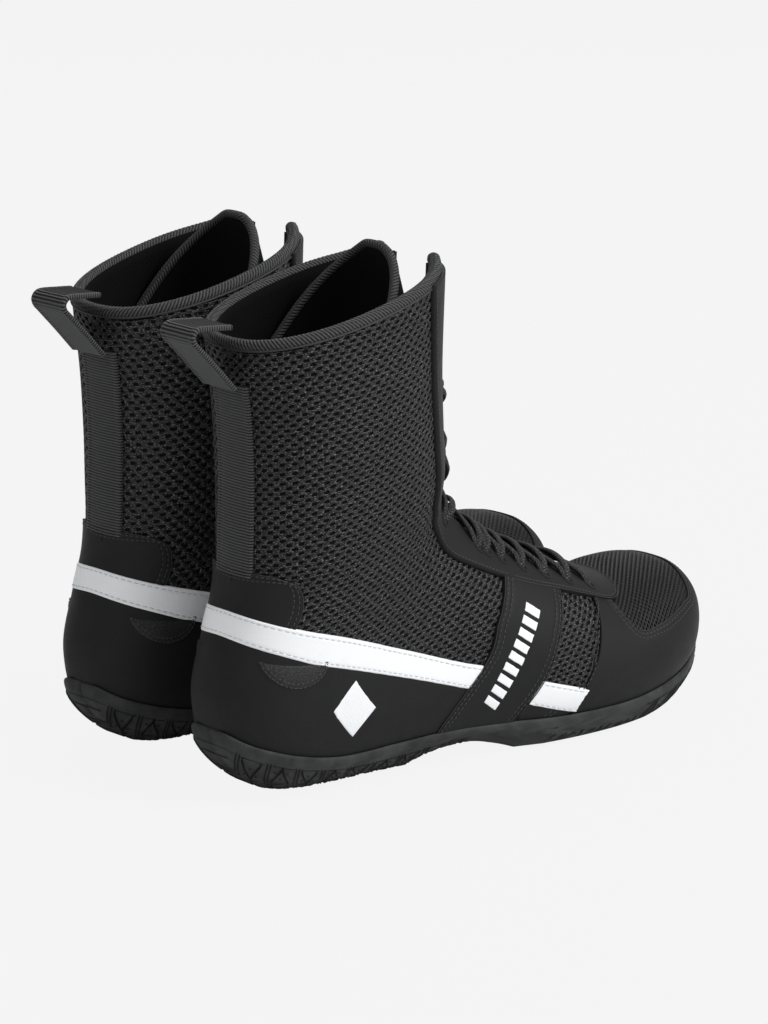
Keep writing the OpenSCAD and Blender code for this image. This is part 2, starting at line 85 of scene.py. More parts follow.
# Slices from the toe to the collar: back or bottom end, front or top end, half widths, skew
SLICES = np.array([
    [301, 42, 301, 46, 1, 1, 1], [299, 32, 300, 60, 18, 19, 1.05], [292, 25, 294, 69.5, 31, 32, 1.1],
    [279, 18, 282, 75, 41, 40, 1.28], [258, 13, 262, 76, 48, 45, 1.48], [232, 10, 237, 74, 51, 46, 1.6],
    [205, 10, 213, 82, 51, 45, 1.6], [178, 11, 188, 92, 48, 41, 1.55], [150, 13, 166, 103, 43, 38, 1.5],
    [118, 15, 150, 114, 39, 36, 1.5], [80, 14, 142, 122, 36, 35, 1.45], [42, 13, 137, 128, 35, 35, 1.35],
    [10, 22, 134, 132, 35, 35, 1.2], [-0.5, 50, 132, 135, 35.5, 35.5, 1.1], [4, 76, 131, 138, 36, 36, 1],
    [11.5, 98, 130, 141, 37, 37, 1], [14.5, 116, 130, 146, 39, 39, 1], [15.5, 136, 130, 156, 41, 41, 1],
    [16.5, 160, 127.5, 176, 43, 43, 1], [15.5, 190, 126, 206, 44, 44, 1], [11.5, 221, 128, 246.5, 44, 44, 1],
    [8, 255, 130, 284, 44, 44, 1]], float)

# Where the sole's rim lies in the side view, from heel to toe
RIM = np.array([
    [1.4, 42], [10, 36], [30, 29], [55, 24], [85, 23.5], [120, 24], [150, 22.5], [178, 20.5],
    [205, 20], [232, 20.5], [258, 23.5], [279, 28], [292, 34], [301, 43]], float)


def along(rows, place):
    """Smooth curve through the rows of a table, at a place counted in rows."""
    final = len(rows) - 1
    place = np.clip(np.asarray(place, float), 0, final - 1e-6)
    i = np.floor(place).astype(int)
    t = (place - i)[..., None]
    a, b, c, d = rows[np.maximum(i - 1, 0)], rows[i], rows[i + 1], rows[np.minimum(i + 2, final)]
    return b + 0.5 * t * (c - a + t * (2 * a - 5 * b + 4 * c - d + t * (3 * (b - c) + d - a)))


def signed_power(value, power):
    return np.sign(value) * np.abs(value) ** power


def travel(line):
    """Distance along a line of points, from its start."""
    return np.concatenate([[0], np.cumsum(np.linalg.norm(np.diff(line, axis=0), axis=1))])


def points_at(where, reach, line):
    """Points at some distances along a line, which is reach long at each of its own points."""
    return np.stack([np.interp(where, reach, line[:, k]) for k in range(line.shape[1])], -1)


def last(s, angle):
    """Point of the last's surface at a station and a girth angle in degrees, 0 at the bottom or back."""
    s, angle = np.broadcast_arrays(np.asarray(s, float), np.asarray(angle, float))
    row = along(SLICES, s)
    turn = np.radians(angle)
    rise = (0.5 - 0.5 * signed_power(np.cos(turn), 0.9)) ** row[..., 6]
    k = np.sin(turn)
    x = np.where(k >= 0, row[..., 4], row[..., 5]) * signed_power(k, 0.85)
    y = row[..., 0] + (row[..., 2] - row[..., 0]) * rise
    z = row[..., 1] + (row[..., 3] - row[..., 1]) * rise
    return np.stack([x, y, z], -1)


def skin(s, angle, depth):
    """Point at a depth from the last's surface, outward positive."""
    s, angle, depth = np.broadcast_arrays(*(np.asarray(v, float) for v in (s, angle, depth)))
    s_low, s_high = np.maximum(s - 0.05, 0.001), s + 0.05
    normal = np.cross(last(s, angle + 3) - last(s, angle - 3), last(s_high, angle) - last(s_low, angle))
    normal /= np.maximum(np.linalg.norm(normal, axis=-1, keepdims=True), 1e-9)
    return last(s, angle) + depth[..., None] * normal


def station(y, z):
    """Station and girth angle of the surface point seen at (y, z) in the side view."""
    y, z = np.broadcast_arrays(np.asarray(y, float), np.asarray(z, float))
    low, high = np.zeros(y.shape), np.full(y.shape, len(SLICES) - 1.0)
    for _ in range(32):
        middle = (low + high) / 2
        r = along(SLICES, middle)
        behind = (r[..., 2] - r[..., 0]) * (z - r[..., 1]) > (r[..., 3] - r[..., 1]) * (y - r[..., 0])
        low, high = np.where(behind, middle, low), np.where(behind, high, middle)
    s = (low + high) / 2
    r = along(SLICES, s)
    across = r[..., 2:4] - r[..., 0:2]
    share = ((y - r[..., 0]) * across[..., 0] + (z - r[..., 1]) * across[..., 1]) / (across ** 2).sum(-1)
    turn = 1 - 2 * np.clip(share, 0, 1) ** (1 / r[..., 6])
    return s, np.degrees(np.arccos(np.clip(signed_power(turn, 1 / 0.9), -1, 1)))


# ---------------------------------------------------------------- unrolled charts of the upper

CHART_STEP = 0.5


class Chart:
    """Unrolled coordinates of the upper in mm: u round it from a centre line, v along it. The medial
    side has negative u. Rows are one CHART_STEP apart."""

    def __init__(self, first, s, angle, line):
        """Each row of s and angle is a line of points going out from the centre line."""
        arc = np.zeros(s.shape)
        arc[:, 1:] = np.cumsum(np.linalg.norm(np.diff(line, axis=1), axis=-1), axis=1)
        self.first = first
        self.arc = arc
        self.y = line[..., 1]
        grid = np.arange(0, arc.max(), CHART_STEP)
        self.s = np.array([np.interp(grid, arc[k], s[k]) for k in range(len(s))])
        self.angle = np.array([np.interp(grid, arc[k], angle[k]) for k in range(len(s))])

    def at(self, u, v):
        """Station and signed girth angle of a point of the chart."""
        u, v = np.broadcast_arrays(np.asarray(u, float), np.asarray(v, float))
        i = np.clip((v - self.first) / CHART_STEP, 0, self.s.shape[0] - 1.001)
        j = np.clip(np.abs(u) / CHART_STEP, 0, self.s.shape[1] - 1.001)
        a, b = np.floor(i).astype(int), np.floor(j).astype(int)
        p, q = i - a, j - b

        def blended(table):
            near = table[a, b] * (1 - q) + table[a, b + 1] * q
            far = table[a + 1, b] * (1 - q) + table[a + 1, b + 1] * q
            return near * (1 - p) + far * p
        return blended(self.s), np.where(u < 0, -1, 1) * blended(self.angle)

    def find(self, y, z):
        """Chart coordinates of a side view point, on a chart whose v is the height."""
        i = int(round((z - self.first) / CHART_STEP))
        return np.interp(y, self.y[i], self.arc[i]), z


def side_chart():
    """Chart of the quarters and the shaft: v is the height and u the distance round from the back line."""
    heights = np.arange(15, 268, CHART_STEP)
    back = along(SLICES, np.linspace(11.4, 21, 600))
    top = along(SLICES, np.linspace(5, 21, 800))
    start = np.interp(heights, back[:, 1], back[:, 0])
    end = np.where(heights < 76.5, 236, np.interp(heights, top[:, 3], top[:, 2]))
    share = (1 - np.cos(np.pi * np.linspace(0, 1, 140))) / 2
    y = start[:, None] + (end - start)[:, None] * share
    s, angle = station(y, heights[:, None])
    return Chart(heights[0], s, angle, last(s, angle))


def top_chart():
    """Chart of the toe: v is the distance from the toe tip along the top line, u the one round from it."""
    s = np.linspace(0.02, 9, 1200)
    line = last(s, 180)
    reach = travel(line)
    v = np.arange(0, reach[-1], CHART_STEP)
    s_row = np.interp(v, reach, s)[:, None] * np.ones(200)
    angle = (180 - 180 * np.linspace(0, 1, 200) ** 1.2) * np.ones((len(v), 1))
    chart = Chart(0, s_row, angle, last(s_row, angle))
    chart.reach = reach
    chart.stations = s
    return chart


SIDE = side_chart()
TOP = top_chart()


def on_top(y, z):
    """Top chart coordinates of a side view point."""
    s, angle = station(y, z)
    v = float(np.interp(s, TOP.stations, TOP.reach))
    i = int(round(v / CHART_STEP))
    j = np.argmin(np.abs(TOP.angle[i] - angle))
    return j * CHART_STEP, v


# ---------------------------------------------------------------- meshes in the row frame

def to_row(side, points):
    """Stands points of a boot's own frame in the row frame, in metres."""
    turn = math.radians(180 - TOE_OUT)
    y = points[..., 1] - BOOT_MIDDLE
    x = points[..., 0] * math.cos(turn) - y * math.sin(turn) - BOOT_GAP / 2
    y = points[..., 0] * math.sin(turn) + y * math.cos(turn)
    return np.stack([x if side == "right" else -x, y, points[..., 2] - SINK], -1) * MM


# The stretch over which the soft upper and the sole would bend with the ball joint, and with the ankle joint;
# only the names are used, and pieces given one of them stay unbent in the row frame
BENDS = {
    "ball": ("foot", "forefoot", (0, 168, 20), (0, 232, 20)),
    "ankle": ("foot", "shaft", (0, 85, 104), (0, 85, 170)),
    "loop": ("shaft", "pull_loop", (0, 8, 222), (0, -8, 222)),
}


def attach(piece, side, mover):
    """Rides a piece on one body of its boot, or, for one of the BENDS, bakes its place and leaves it unbent.
    """
    if mover in BENDS:
        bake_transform(piece)
    else:
        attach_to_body(piece, f"{side}_{mover}")


def add_piece(name, points, faces, uv, look, mover, stands_for=()):
    """Adds one piece to each boot. faces are quads, uv is one point in mm for each vertex, and look is a
    material with its slot; the slot is not used."""
    material, slot = look
    made = []
    for side in SIDES:
        mesh = bpy.data.meshes.new(f"{side}_{name}")
        mesh.from_pydata(to_row(side, points).tolist(), [], faces.tolist())
        mesh.polygons.foreach_set("use_smooth", np.ones(len(mesh.polygons), bool))
        layer = mesh.uv_layers.new(name="UVMap")
        corner = np.zeros(len(mesh.loops), int)
        mesh.loops.foreach_get("vertex_index", corner)
        layer.data.foreach_set("uv", (uv[corner] * MM).ravel())
        shell = bmesh.new()
        shell.from_mesh(mesh)
        bmesh.ops.recalc_face_normals(shell, faces=shell.faces)
        shell.to_mesh(mesh)
        shell.free()
        mesh.materials.append(material)
        piece = bpy.data.objects.new(f"{side}_{name}", mesh)
        bpy.context.scene.collection.objects.link(piece)
        attach(piece, side, mover)
        if stands_for:
            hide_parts(*(f"{side}_{node}" for node in stands_for))
        made.append(piece)
    return made


def grid_faces(rows, cols, looped=False, base=0):
    """Quads of a grid of points, whose columns join up all round if it is looped."""
    wide = cols if looped else cols - 1
    i, j = np.meshgrid(np.arange(rows - 1), np.arange(wide), indexing="ij")
    after = (j + 1) % cols
    quads = np.stack([i * cols + j, i * cols + after, (i + 1) * cols + after, (i + 1) * cols + j], -1)
    return quads.reshape(-1, 4) + base


def lengths(points, axis):
    """Distance along each line of a grid of points, from its start."""
    step = np.linalg.norm(np.diff(points, axis=axis), axis=-1)
    total = np.zeros(points.shape[:2])
    if axis == 0:
        total[1:] = np.cumsum(step, axis=0)
    else:
        total[:, 1:] = np.cumsum(step, axis=1)
    return total


def edge_distance(points, open_edges=""):
    """Distance of each grid point from the nearest edge that isn't open: low, top, start or end."""
    down, over = lengths(points, 0), lengths(points, 1)
    found = {"low": down, "top": down[-1] - down, "start": over, "end": over[:, -1:] - over}
    closed = [d for edge, d in found.items() if edge not in open_edges.split()]
    return np.minimum.reduce(closed) if closed else np.full(down.shape, 99.0)


def closed_shell(outer, inner):
    """Points and quads of a shell between two grids, whose edges are joined by a rim."""
    rows, cols = outer.shape[:2]
    count = rows * cols
    index = np.arange(count).reshape(rows, cols)
    ring = np.concatenate([index[0, :-1], index[:-1, -1], index[-1, :0:-1], index[:0:-1, 0]])
    after = np.roll(ring, -1)
    rim = np.stack([ring, ring + count, after + count, after], -1)
    faces = np.concatenate([grid_faces(rows, cols), grid_faces(rows, cols, base=count)[:, ::-1], rim])
    return np.concatenate([outer.reshape(-1, 3), inner.reshape(-1, 3)]), faces


def add_shell(name, outer, inner, over, up, look, mover, stands_for=()):
    """Adds a closed shell between two grids of points. over and up are the UV of both grids."""
    points, faces = closed_shell(outer, inner)
    uv = np.stack(np.broadcast_arrays(over, up), -1).reshape(-1, 2)
    return add_piece(name, points, faces, np.concatenate([uv, uv]), look, mover, stands_for)


# How thick a panel is at its very edge, and how far its rounding reaches in shares of its thickness
EDGE_THICK = 0.12
EDGE_ROUND = 0.75


def panel(name, s, angle, depths, look, mover, stands_for=(), open_edges="", seams=()):
    """A cut panel of the upper with rounded edges, on a grid of stations and girth angles. It sinks along
    its seams, which lie at some distances from its edges."""
    surface = last(s, angle)
    low, high = depths
    away = edge_distance(surface, open_edges)
    radius = EDGE_ROUND * (high - low)
    crown = np.sqrt(1 - (1 - np.clip(away / radius, 0, 1)) ** 2)
    depth = low + EDGE_THICK + (high - low - EDGE_THICK) * crown
    if seams:
        depth = depth + seam_relief(away, seams) * (away > radius)
    over, up = lengths(surface, 1), lengths(surface, 0)
    over = over - over[:, over.shape[1] // 2][:, None]
    return add_shell(name, skin(s, angle, depth), skin(s, angle, low), over, up, look, mover, stands_for)


# How deep and how wide the dip along a seam is
SEAM_SINK, SEAM_WIDE = 0.22, 0.35


def seam_relief(away, seams):
    """How far a panel sinks at a distance from its edges."""
    return -sum(SEAM_SINK * np.exp(-((away - d) / SEAM_WIDE) ** 2) for d in seams)


# Where a panel has its rows beside an edge, in mm: close enough to round it and to sink its seam
EDGE_ROWS = [0, 0.1, 0.25, 0.5, 0.9, 1.4, 1.8, 2.1, 2.6, 3.4, 4.2, 4.6, 5.0, 5.6]
PANEL_STEP = 1.8


def stops(length):
    """Shares of a length at which a panel has rows."""
    edge = [e for e in EDGE_ROWS if e < length * 0.4]
    count = max(2, round((length - 2 * edge[-1]) / PANEL_STEP))
    middle = np.linspace(edge[-1], length - edge[-1], count + 1)
    return np.concatenate([edge[:-1], middle, length - np.array(edge[:-1][::-1])]) / length


def through(points, share):
    """Smooth curve through points, at shares of its length."""
    points = np.asarray(points, float)
    fine = along(points, np.linspace(0, len(points) - 1, 40 * len(points)))
    reach = travel(fine)
    return points_at(np.asarray(share) * reach[-1], reach, fine)


def span(points):
    """Length of the smooth curve through points."""
    return np.linalg.norm(np.diff(through(points, np.linspace(0, 1, 100)), axis=0), axis=1).sum()


def patch(chart, low, top, start=None, end=None):
    """Stations and angles of a patch of a chart between a low and a top edge. Its ends are straight
    unless their edges are given too, each from the low edge to the top one."""
    start = start or [low[0], top[0]]
    end = end or [low[-1], top[-1]]
    across = stops((span(low) + span(top)) / 2)
    up = stops((span(start) + span(end)) / 2)
    b, t = through(low, across), through(top, across)
    l, r = through(start, up), through(end, up)
    p, q = across[None, :, None], up[:, None, None]
    corners = (1 - p) * (1 - q) * b[0] + p * (1 - q) * b[-1] + (1 - p) * q * t[0] + p * q * t[-1]
    grid = (1 - q) * b[None] + q * t[None] + (1 - p) * l[:, None] + p * r[:, None] - corners
    return chart.at(grid[..., 0], grid[..., 1])


def side_points(points, side=1):
    """Side chart points of side view points, on the medial side where side is -1."""
    return [(side * u, v) for u, v in (SIDE.find(y, z) for y, z in points)]


def wrapped(height, points):
    """Chart points of an edge that goes all round the heel, from the medial side to the lateral one."""
    half = side_points(points)
    return [(-u, v) for u, v in reversed(half)] + [(0, height)] + half


# ---------------------------------------------------------------- materials

def grey(value, tint=0.02):
    """A nearly neutral colour, a touch cooler than grey."""
    return (value * (1 - tint), value, value * (1 + tint), 1)


class Shader:
    """One procedural material in shades of grey, with short calls for its texture nodes. Scales are per
    metre of UV."""

    def __init__(self, name, shade, roughness, specular):
        self.material = bpy.data.materials.new(name)
        self.material.use_nodes = True
        self.nodes = self.material.node_tree.nodes
        self.links = self.material.node_tree.links
        self.surface = self.nodes["Principled BSDF"]
        self.surface.inputs["Base Color"].default_value = grey(shade)
        self.surface.inputs["Roughness"].default_value = roughness
        self.surface.inputs["Specular IOR Level"].default_value = specular
        self.uv = self.nodes.new("ShaderNodeTexCoord").outputs["UV"]
        self.height = None

    def put(self, kind, inputs=(), **settings):
        """Adds a node, sets its properties and fills its inputs by name or number."""
        node = self.nodes.new(kind)
        for key, value in settings.items():
            setattr(node, key, value)
        for key, value in dict(inputs).items():
            if isinstance(value, bpy.types.NodeSocket):
                self.links.new(value, node.inputs[key])
            else:
                node.inputs[key].default_value = value
        return node

    def mapped(self, stretch=(1, 1), turn=0.0):
        """The UV, stretched and turned by an angle in degrees."""
        inputs = {"Vector": self.uv, "Scale": (*stretch, 1), "Rotation": (0, 0, math.radians(turn))}
        return self.put("ShaderNodeMapping", inputs).outputs[0]

    def noise(self, scale, detail, stretch=(1, 1)):
        inputs = {"Vector": self.mapped(stretch), "Scale": scale, "Detail": detail}
        return self.put("ShaderNodeTexNoise", inputs).outputs[0]

    def cells(self, scale):
        inputs = {"Vector": self.mapped(), "Scale": scale}
        return self.put("ShaderNodeTexVoronoi", inputs, feature="SMOOTH_F1").outputs["Distance"]

    def waves(self, scale, direction="X", turn=0.0, distortion=0.0):
        inputs = {"Vector": self.mapped(turn=turn), "Scale": scale, "Distortion": distortion,
                  "Detail Scale": 1.0}
        return self.put("ShaderNodeTexWave", inputs, bands_direction=direction).outputs["Fac"]

    def math(self, operation, a, b=0.0):
        return self.put("ShaderNodeMath", {0: a, 1: b}, operation=operation).outputs[0]

    def ramp(self, value, low, high, start=0.0, end=1.0):
        inputs = {"Value": value, "From Min": start, "From Max": end, "To Min": low, "To Max": high}
        return self.put("ShaderNodeMapRange", inputs).outputs[0]

    def colours(self, value, dark, light):
        """Colours the surface from dark to light with a value."""
        colour_a, colour_b, result = 6, 7, 2
        mix = self.put("ShaderNodeMix", {"Factor": value}, data_type="RGBA")
        mix.inputs[colour_a].default_value = grey(dark)
        mix.inputs[colour_b].default_value = grey(light)
        self.links.new(mix.outputs[result], self.surface.inputs["Base Color"])

    def rough(self, value, low, high):
        self.links.new(self.ramp(value, low, high), self.surface.inputs["Roughness"])

    def bump(self, height, strength, distance):
        """Adds a bump layer over the ones before it. distance is in mm."""
        inputs = {"Height": height, "Strength": strength, "Distance": distance * MM}
        if self.height is not None:
            inputs["Normal"] = self.height
        self.height = self.put("ShaderNodeBump", inputs).outputs[0]
        self.links.new(self.height, self.surface.inputs["Normal"])


def leather(name, dark, light, roughness):
    """Matte synthetic leather: fine pebbles with shallow creases between them."""
    made = Shader(name, dark, roughness, 0.16)
    made.colours(made.noise(45, 4), dark, light)
    made.rough(made.noise(160, 3), roughness - 0.07, roughness + 0.08)
    made.bump(made.cells(1500), 0.3, 0.25)
    made.bump(made.noise(5000, 2), 0.18, 0.1)
    return made.material


def net_cloth(name, dark, light, scale):
    """Knitted threads of the mesh: short bright flecks of filament over dark yarn."""
    made = Shader(name, dark, 0.5, 0.3)
    yarn = made.noise(scale, 2, (1, 2.2))
    fleck = made.ramp(yarn, 0, 1, 0.54, 0.8)
    made.colours(fleck, dark, light)
    made.rough(yarn, 0.35, 0.7)
    made.bump(yarn, 0.6, 0.35)
    return made.material


def knit(name, dark, light, scale):
    """Close knit of the lining and the tongue: columns of small stitches."""
    made = Shader(name, dark, 0.85, 0.04)
    columns = made.waves(scale, "X", distortion=0.6)
    courses = made.waves(scale * 1.3, "Y", distortion=0.8)
    loops = made.math("MULTIPLY", columns, courses)
    made.colours(made.ramp(loops, 0, 1, 0.1, 0.9), dark, light)
    made.bump(loops, 0.5, 0.35)
    made.surface.inputs["Sheen Weight"].default_value = 0.01
    return made.material


# Scale of a wave texture whose bands are 1 mm apart
BAND_SCALE = 2 * math.pi / 20 / MM


def webbing(name, dark, light, pitch, direction="Y", turn=0.0):
    """Woven tape or knitted binding: bright weft ribs, one every pitch mm."""
    made = Shader(name, dark, 0.7, 0.25)
    weft = made.waves(BAND_SCALE / pitch, direction, turn=turn, distortion=0.4)
    made.colours(made.ramp(weft, 0, 1, 0.2, 0.9), dark, light)
    made.bump(weft, 0.8, 0.3)
    made.surface.inputs["Sheen Weight"].default_value = 0.05
    return made.material


def braid(name, dark, light):
    """Braided lace: diagonal strands that cross, with worn grey crowns."""
    made = Shader(name, dark, 0.7, 0.25)
    over = made.waves(240, turn=35)
    under = made.waves(240, turn=-35)
    plait = made.math("MAXIMUM", over, under)
    crown = made.ramp(made.math("MULTIPLY", plait, made.noise(1400, 2)), 0, 1, 0.42, 0.66)
    made.colours(crown, dark, light)
    made.bump(plait, 0.8, 0.4)
    return made.material


def rubber(name, dark, light):
    """Moulded sole rubber: fine spark-eroded grain, scuffed a little lighter in patches; painted shade in
    grooves.
    """
    made = Shader(name, dark, 0.62, 0.1)
    scuffs = made.ramp(made.noise(70, 6), 0.45, 1, 0.35, 0.75)
    # The groove attribute is painted shade: it darkens the rubber's colour in the wall's moulded grooves
    groove = made.put("ShaderNodeAttribute", attribute_name="groove").outputs["Fac"]
    made.colours(made.math("MULTIPLY", scuffs, made.ramp(groove, 1, 0, 0.1, 0.9)), dark, light)
    made.rough(made.noise(300, 3), 0.5, 0.72)
    made.bump(made.noise(3500, 2), 0.35, 0.12)
    return made.material


def thread(name, shade):
    """Sewing thread, twisted."""
    made = Shader(name, shade, 0.55, 0.5)
    twist = made.waves(1500, turn=40)
    made.colours(twist, shade * 0.6, shade)
    made.bump(twist, 0.4, 0.1)
    return made.material


def board(name, dark, light):
    """Insole cloth over foam."""
    made = Shader(name, dark, 0.9, 0.15)
    made.colours(made.noise(1200, 3), dark, light)
    made.bump(made.noise(2500, 2), 0.4, 0.2)
    return made.material


# Each look is a material and the record's slot that it belongs to
LEATHER = (leather("synthetic_leather", 0.009, 0.0135, 0.58), "synthetic_leather")
TRIM = (leather("white_trim", 0.80, 0.84, 0.5), "white_trim")
NET = (net_cloth("mesh_threads", 0.002, 0.26, 1000), "mesh")
BASE = (board("mesh_backing", 0.003, 0.006), "mesh")
LINING = (knit("lining_knit", 0.003, 0.009, 260), "lining_knit")
TONGUE = (knit("tongue_knit", 0.004, 0.013, 240), "tongue_knit")
BINDING = (webbing("binding_knit", 0.004, 0.06, 1.5, "X", 32), "binding_knit")
WEBBING = (webbing("webbing", 0.001, 0.075, 1.4), "webbing")
LACE = (braid("lace_cord", 0.008, 0.11), "lace_cord")
RUBBER = (rubber("sole_rubber", 0.001, 0.062), "sole_rubber")
BLACK_THREAD = (thread("black_thread", 0.035), "synthetic_leather")
PALE_THREAD = (thread("pale_thread", 0.74), "white_trim")
PIPING = (thread("piping", 0.02), "binding_knit")
INSOLE = (board("insole_cloth", 0.02, 0.04), "insole")
TOE_NET = (net_cloth("toe_threads", 0.001, 0.06, 1000), "mesh")
PATCH_NET = (net_cloth("patch_threads", 0.01, 0.12, 1500), "mesh")
# The same materials on other parts
CUT_EDGE = (PIPING[0], "synthetic_leather")
TONGUE_BINDING = (BINDING[0], "tongue_knit")
STIFFENER = (INSOLE[0], "stiffener")

# ---------------------------------------------------------------- stitching

# Points, quads and UV of the small things that finish_stitches() joins, kept by mover and kind
STITCHES = {}
STITCH_SIDES = 6
STITCH_WIDE = 0.55
# How much of the pitch a stitch fills
STITCH_SHARE = 0.72


def stitch(points, tangents, normals, length, width, store):
    """Adds short rounded stitches that lie along their tangents, with their thin ends sunk in."""
    across = np.cross(normals, tangents)
    across /= np.linalg.norm(across, axis=1, keepdims=True)
    along_it, fat = np.array([-0.5, -0.36, 0.36, 0.5]), np.array([0.35, 1, 1, 0.35])
    turn = np.arange(STITCH_SIDES) * 2 * math.pi / STITCH_SIDES
    sag = -0.25 * width * (fat < 1)
    points, tangents, normals, across = (v[:, None, None] for v in (points, tangents, normals, across))
    body = (points + tangents * (along_it * length)[None, :, None, None]
            + normals * sag[None, :, None, None]
            + across * (np.cos(turn)[None, None] * fat[None, :, None])[..., None] * width / 2
            + normals * (np.sin(turn)[None, None] * fat[None, :, None])[..., None] * width / 2)
    sections = len(along_it)
    ends = np.array([[3, 2, 1, 0], [5, 4, 3, 0]])
    one = np.concatenate([grid_faces(sections, STITCH_SIDES, looped=True), ends,
                          ends[:, ::-1] + (sections - 1) * STITCH_SIDES])
    first_points = np.arange(len(points)) * sections * STITCH_SIDES
    faces = (one[None] + first_points[:, None, None]).reshape(-1, 4)
    uv = np.stack(np.broadcast_arrays((along_it * length)[None, :, None], turn[None, None] * width / 2), -1)
    uv = np.broadcast_to(uv, (len(points), sections, STITCH_SIDES, 2)).reshape(-1, 2)
    STITCHES.setdefault(store, []).append((body.reshape(-1, 3), faces, uv))


def seam_of(s, angle, depth, pitch, store):
    """Sews along a line of stations and girth angles, at a depth."""
    line = skin(s, angle, depth)
    reach = travel(line)
    count = max(2, int(reach[-1] / pitch))
    middle = (np.arange(count) + 0.5) * reach[-1] / count
    here = points_at(middle, reach, line)
    tangent = points_at(middle + 0.4, reach, line) - points_at(middle - 0.4, reach, line)
    tangent /= np.linalg.norm(tangent, axis=1, keepdims=True)
    s_here, angle_here = np.interp(middle, reach, s), np.interp(middle, reach, angle)
    normal = skin(s_here, angle_here, depth + 1) - skin(s_here, angle_here, depth)
    stitch(here, tangent, normal, pitch * STITCH_SHARE, STITCH_WIDE, store)


# How far from a panel's corner a seam along its edge ends
SEAM_TRIM = 2.0


def inset_line(s, angle, edge, distance):
    """Line of a panel's grid at a distance from one of its edges."""
    surface = last(s, angle)
    if edge in ("low", "top"):
        table, s, angle = lengths(surface, 0), s.T, angle.T
        table = table.T if edge == "low" else (table[-1] - table).T
    else:
        table = lengths(surface, 1)
        table = table if edge == "start" else table[:, -1:] - table
    if edge in ("top", "end"):
        table, s, angle = table[:, ::-1], s[:, ::-1], angle[:, ::-1]
    s_line = np.array([np.interp(distance, table[k], s[k]) for k in range(len(table))])
    angle_line = np.array([np.interp(distance, table[k], angle[k]) for k in range(len(table))])
    return s_line, angle_line


def sew(s, angle, edges, depth, mover, distances, pitch, kind):
    """Sews rows of stitches along edges of a panel, at distances from each, stopping short of its ends."""
    for edge in edges.split():
        for distance in distances:
            s_line, angle_line = inset_line(s, angle, edge, distance)
            reach = travel(last(s_line, angle_line))
            keep = (reach > SEAM_TRIM) & (reach < reach[-1] - SEAM_TRIM)
            if keep.sum() > 3:
                seam_of(s_line[keep], angle_line[keep], depth, pitch, (mover, kind))


def finish_stitches():
    """Joins the stitches and cords of each mover and kind into one piece."""
    looks = {"black": BLACK_THREAD, "grey": PALE_THREAD, "edge": CUT_EDGE, "piping": PIPING,
             "binding": TONGUE_BINDING, "lace": LACE, "eyelet": LEATHER}
    stands = {("ball", "lace"): ("lower_lace",), ("ankle", "lace"): ("upper_lace",)}
    for (mover, kind), things in STITCHES.items():
        points, quads, uvs = zip(*things)
        bases = np.cumsum([0] + [len(body) for body in points])
        faces = [found + base for found, base in zip(quads, bases)]
        add_piece(f"{kind}_{mover}", np.concatenate(points), np.concatenate(faces), np.concatenate(uvs),
                  looks[kind], mover, stands.get((mover, kind), ()))


# ---------------------------------------------------------------- cords

def tube_body(path, normal, wide, high, sides=8, swell=None):
    """Points, quads and UV of a closed cord along a path, with an oval section that lies on a surface."""
    tangent = np.gradient(path, axis=0)
    tangent /= np.linalg.norm(tangent, axis=1, keepdims=True)
    across = np.cross(normal, tangent)
    across /= np.linalg.norm(across, axis=1, keepdims=True)
    up = np.cross(tangent, across)
    turn = np.arange(sides) * 2 * math.pi / sides
    reach = travel(path)
    size = np.ones((len(path), sides)) if swell is None else 1 + swell(reach[:, None], turn[None])
    body = (path[:, None] + across[:, None] * (wide / 2 * np.cos(turn) * size)[..., None]
            + up[:, None] * (high / 2 * np.sin(turn) * size)[..., None])
    fan = np.array([[0, k, k + 1, k + 2] for k in range(1, sides - 1, 2)])
    faces = np.concatenate([
        grid_faces(len(path), sides, looped=True), fan[:, ::-1], fan + (len(path) - 1) * sides])
    uv = np.stack(np.broadcast_arrays(reach[:, None], turn[None] * (wide + high) / 4), -1)
    return body.reshape(-1, 3), faces, uv.reshape(-1, 2)


def even(path, step):
    """Path resampled at even steps along its length."""
    reach = travel(path)
    return points_at(np.linspace(0, reach[-1], max(3, int(reach[-1] / step))), reach, path)


def lay_cord(s, angle, depth, wide, high, store, step=0.8, sides=8):
    """Lays a cord along a line of stations and girth angles and keeps it in a store of small pieces."""
    path = even(np.concatenate([skin(s, angle, depth), skin(s, angle, depth + 1)], 1), step)
    STITCHES.setdefault(store, []).append(
        tube_body(path[:, :3], path[:, 3:] - path[:, :3], wide, high, sides))


# Where a cut edge's line lies from the edge, and how wide it is
CUT_INSET, CUT_WIDE = 0.15, 0.45


def raw_edge(s, angle, edges, depth, mover):
    """Dark cut edge of a panel, as a fine line along each edge."""
    for edge in edges.split():
        s_line, angle_line = inset_line(s, angle, edge, CUT_INSET)
        lay_cord(s_line, angle_line, depth, CUT_WIDE, CUT_WIDE, (mover, "edge"), 1.5, 6)


# ---------------------------------------------------------------- bands between matched edges

def places(points, side=1):
    """Stations and girth angles of side view points. Angles of the medial side run on past 180."""
    points = np.asarray(points, float)
    s, angle = station(points[:, 0], points[:, 1])
    return [(a, b if side > 0 else 360 - b) for a, b in zip(s, angle)]


def both_sides(points, middle=()):
    """Places from the lateral side over the top to the medial one."""
    return places(points) + list(middle) + places(points, -1)[::-1]


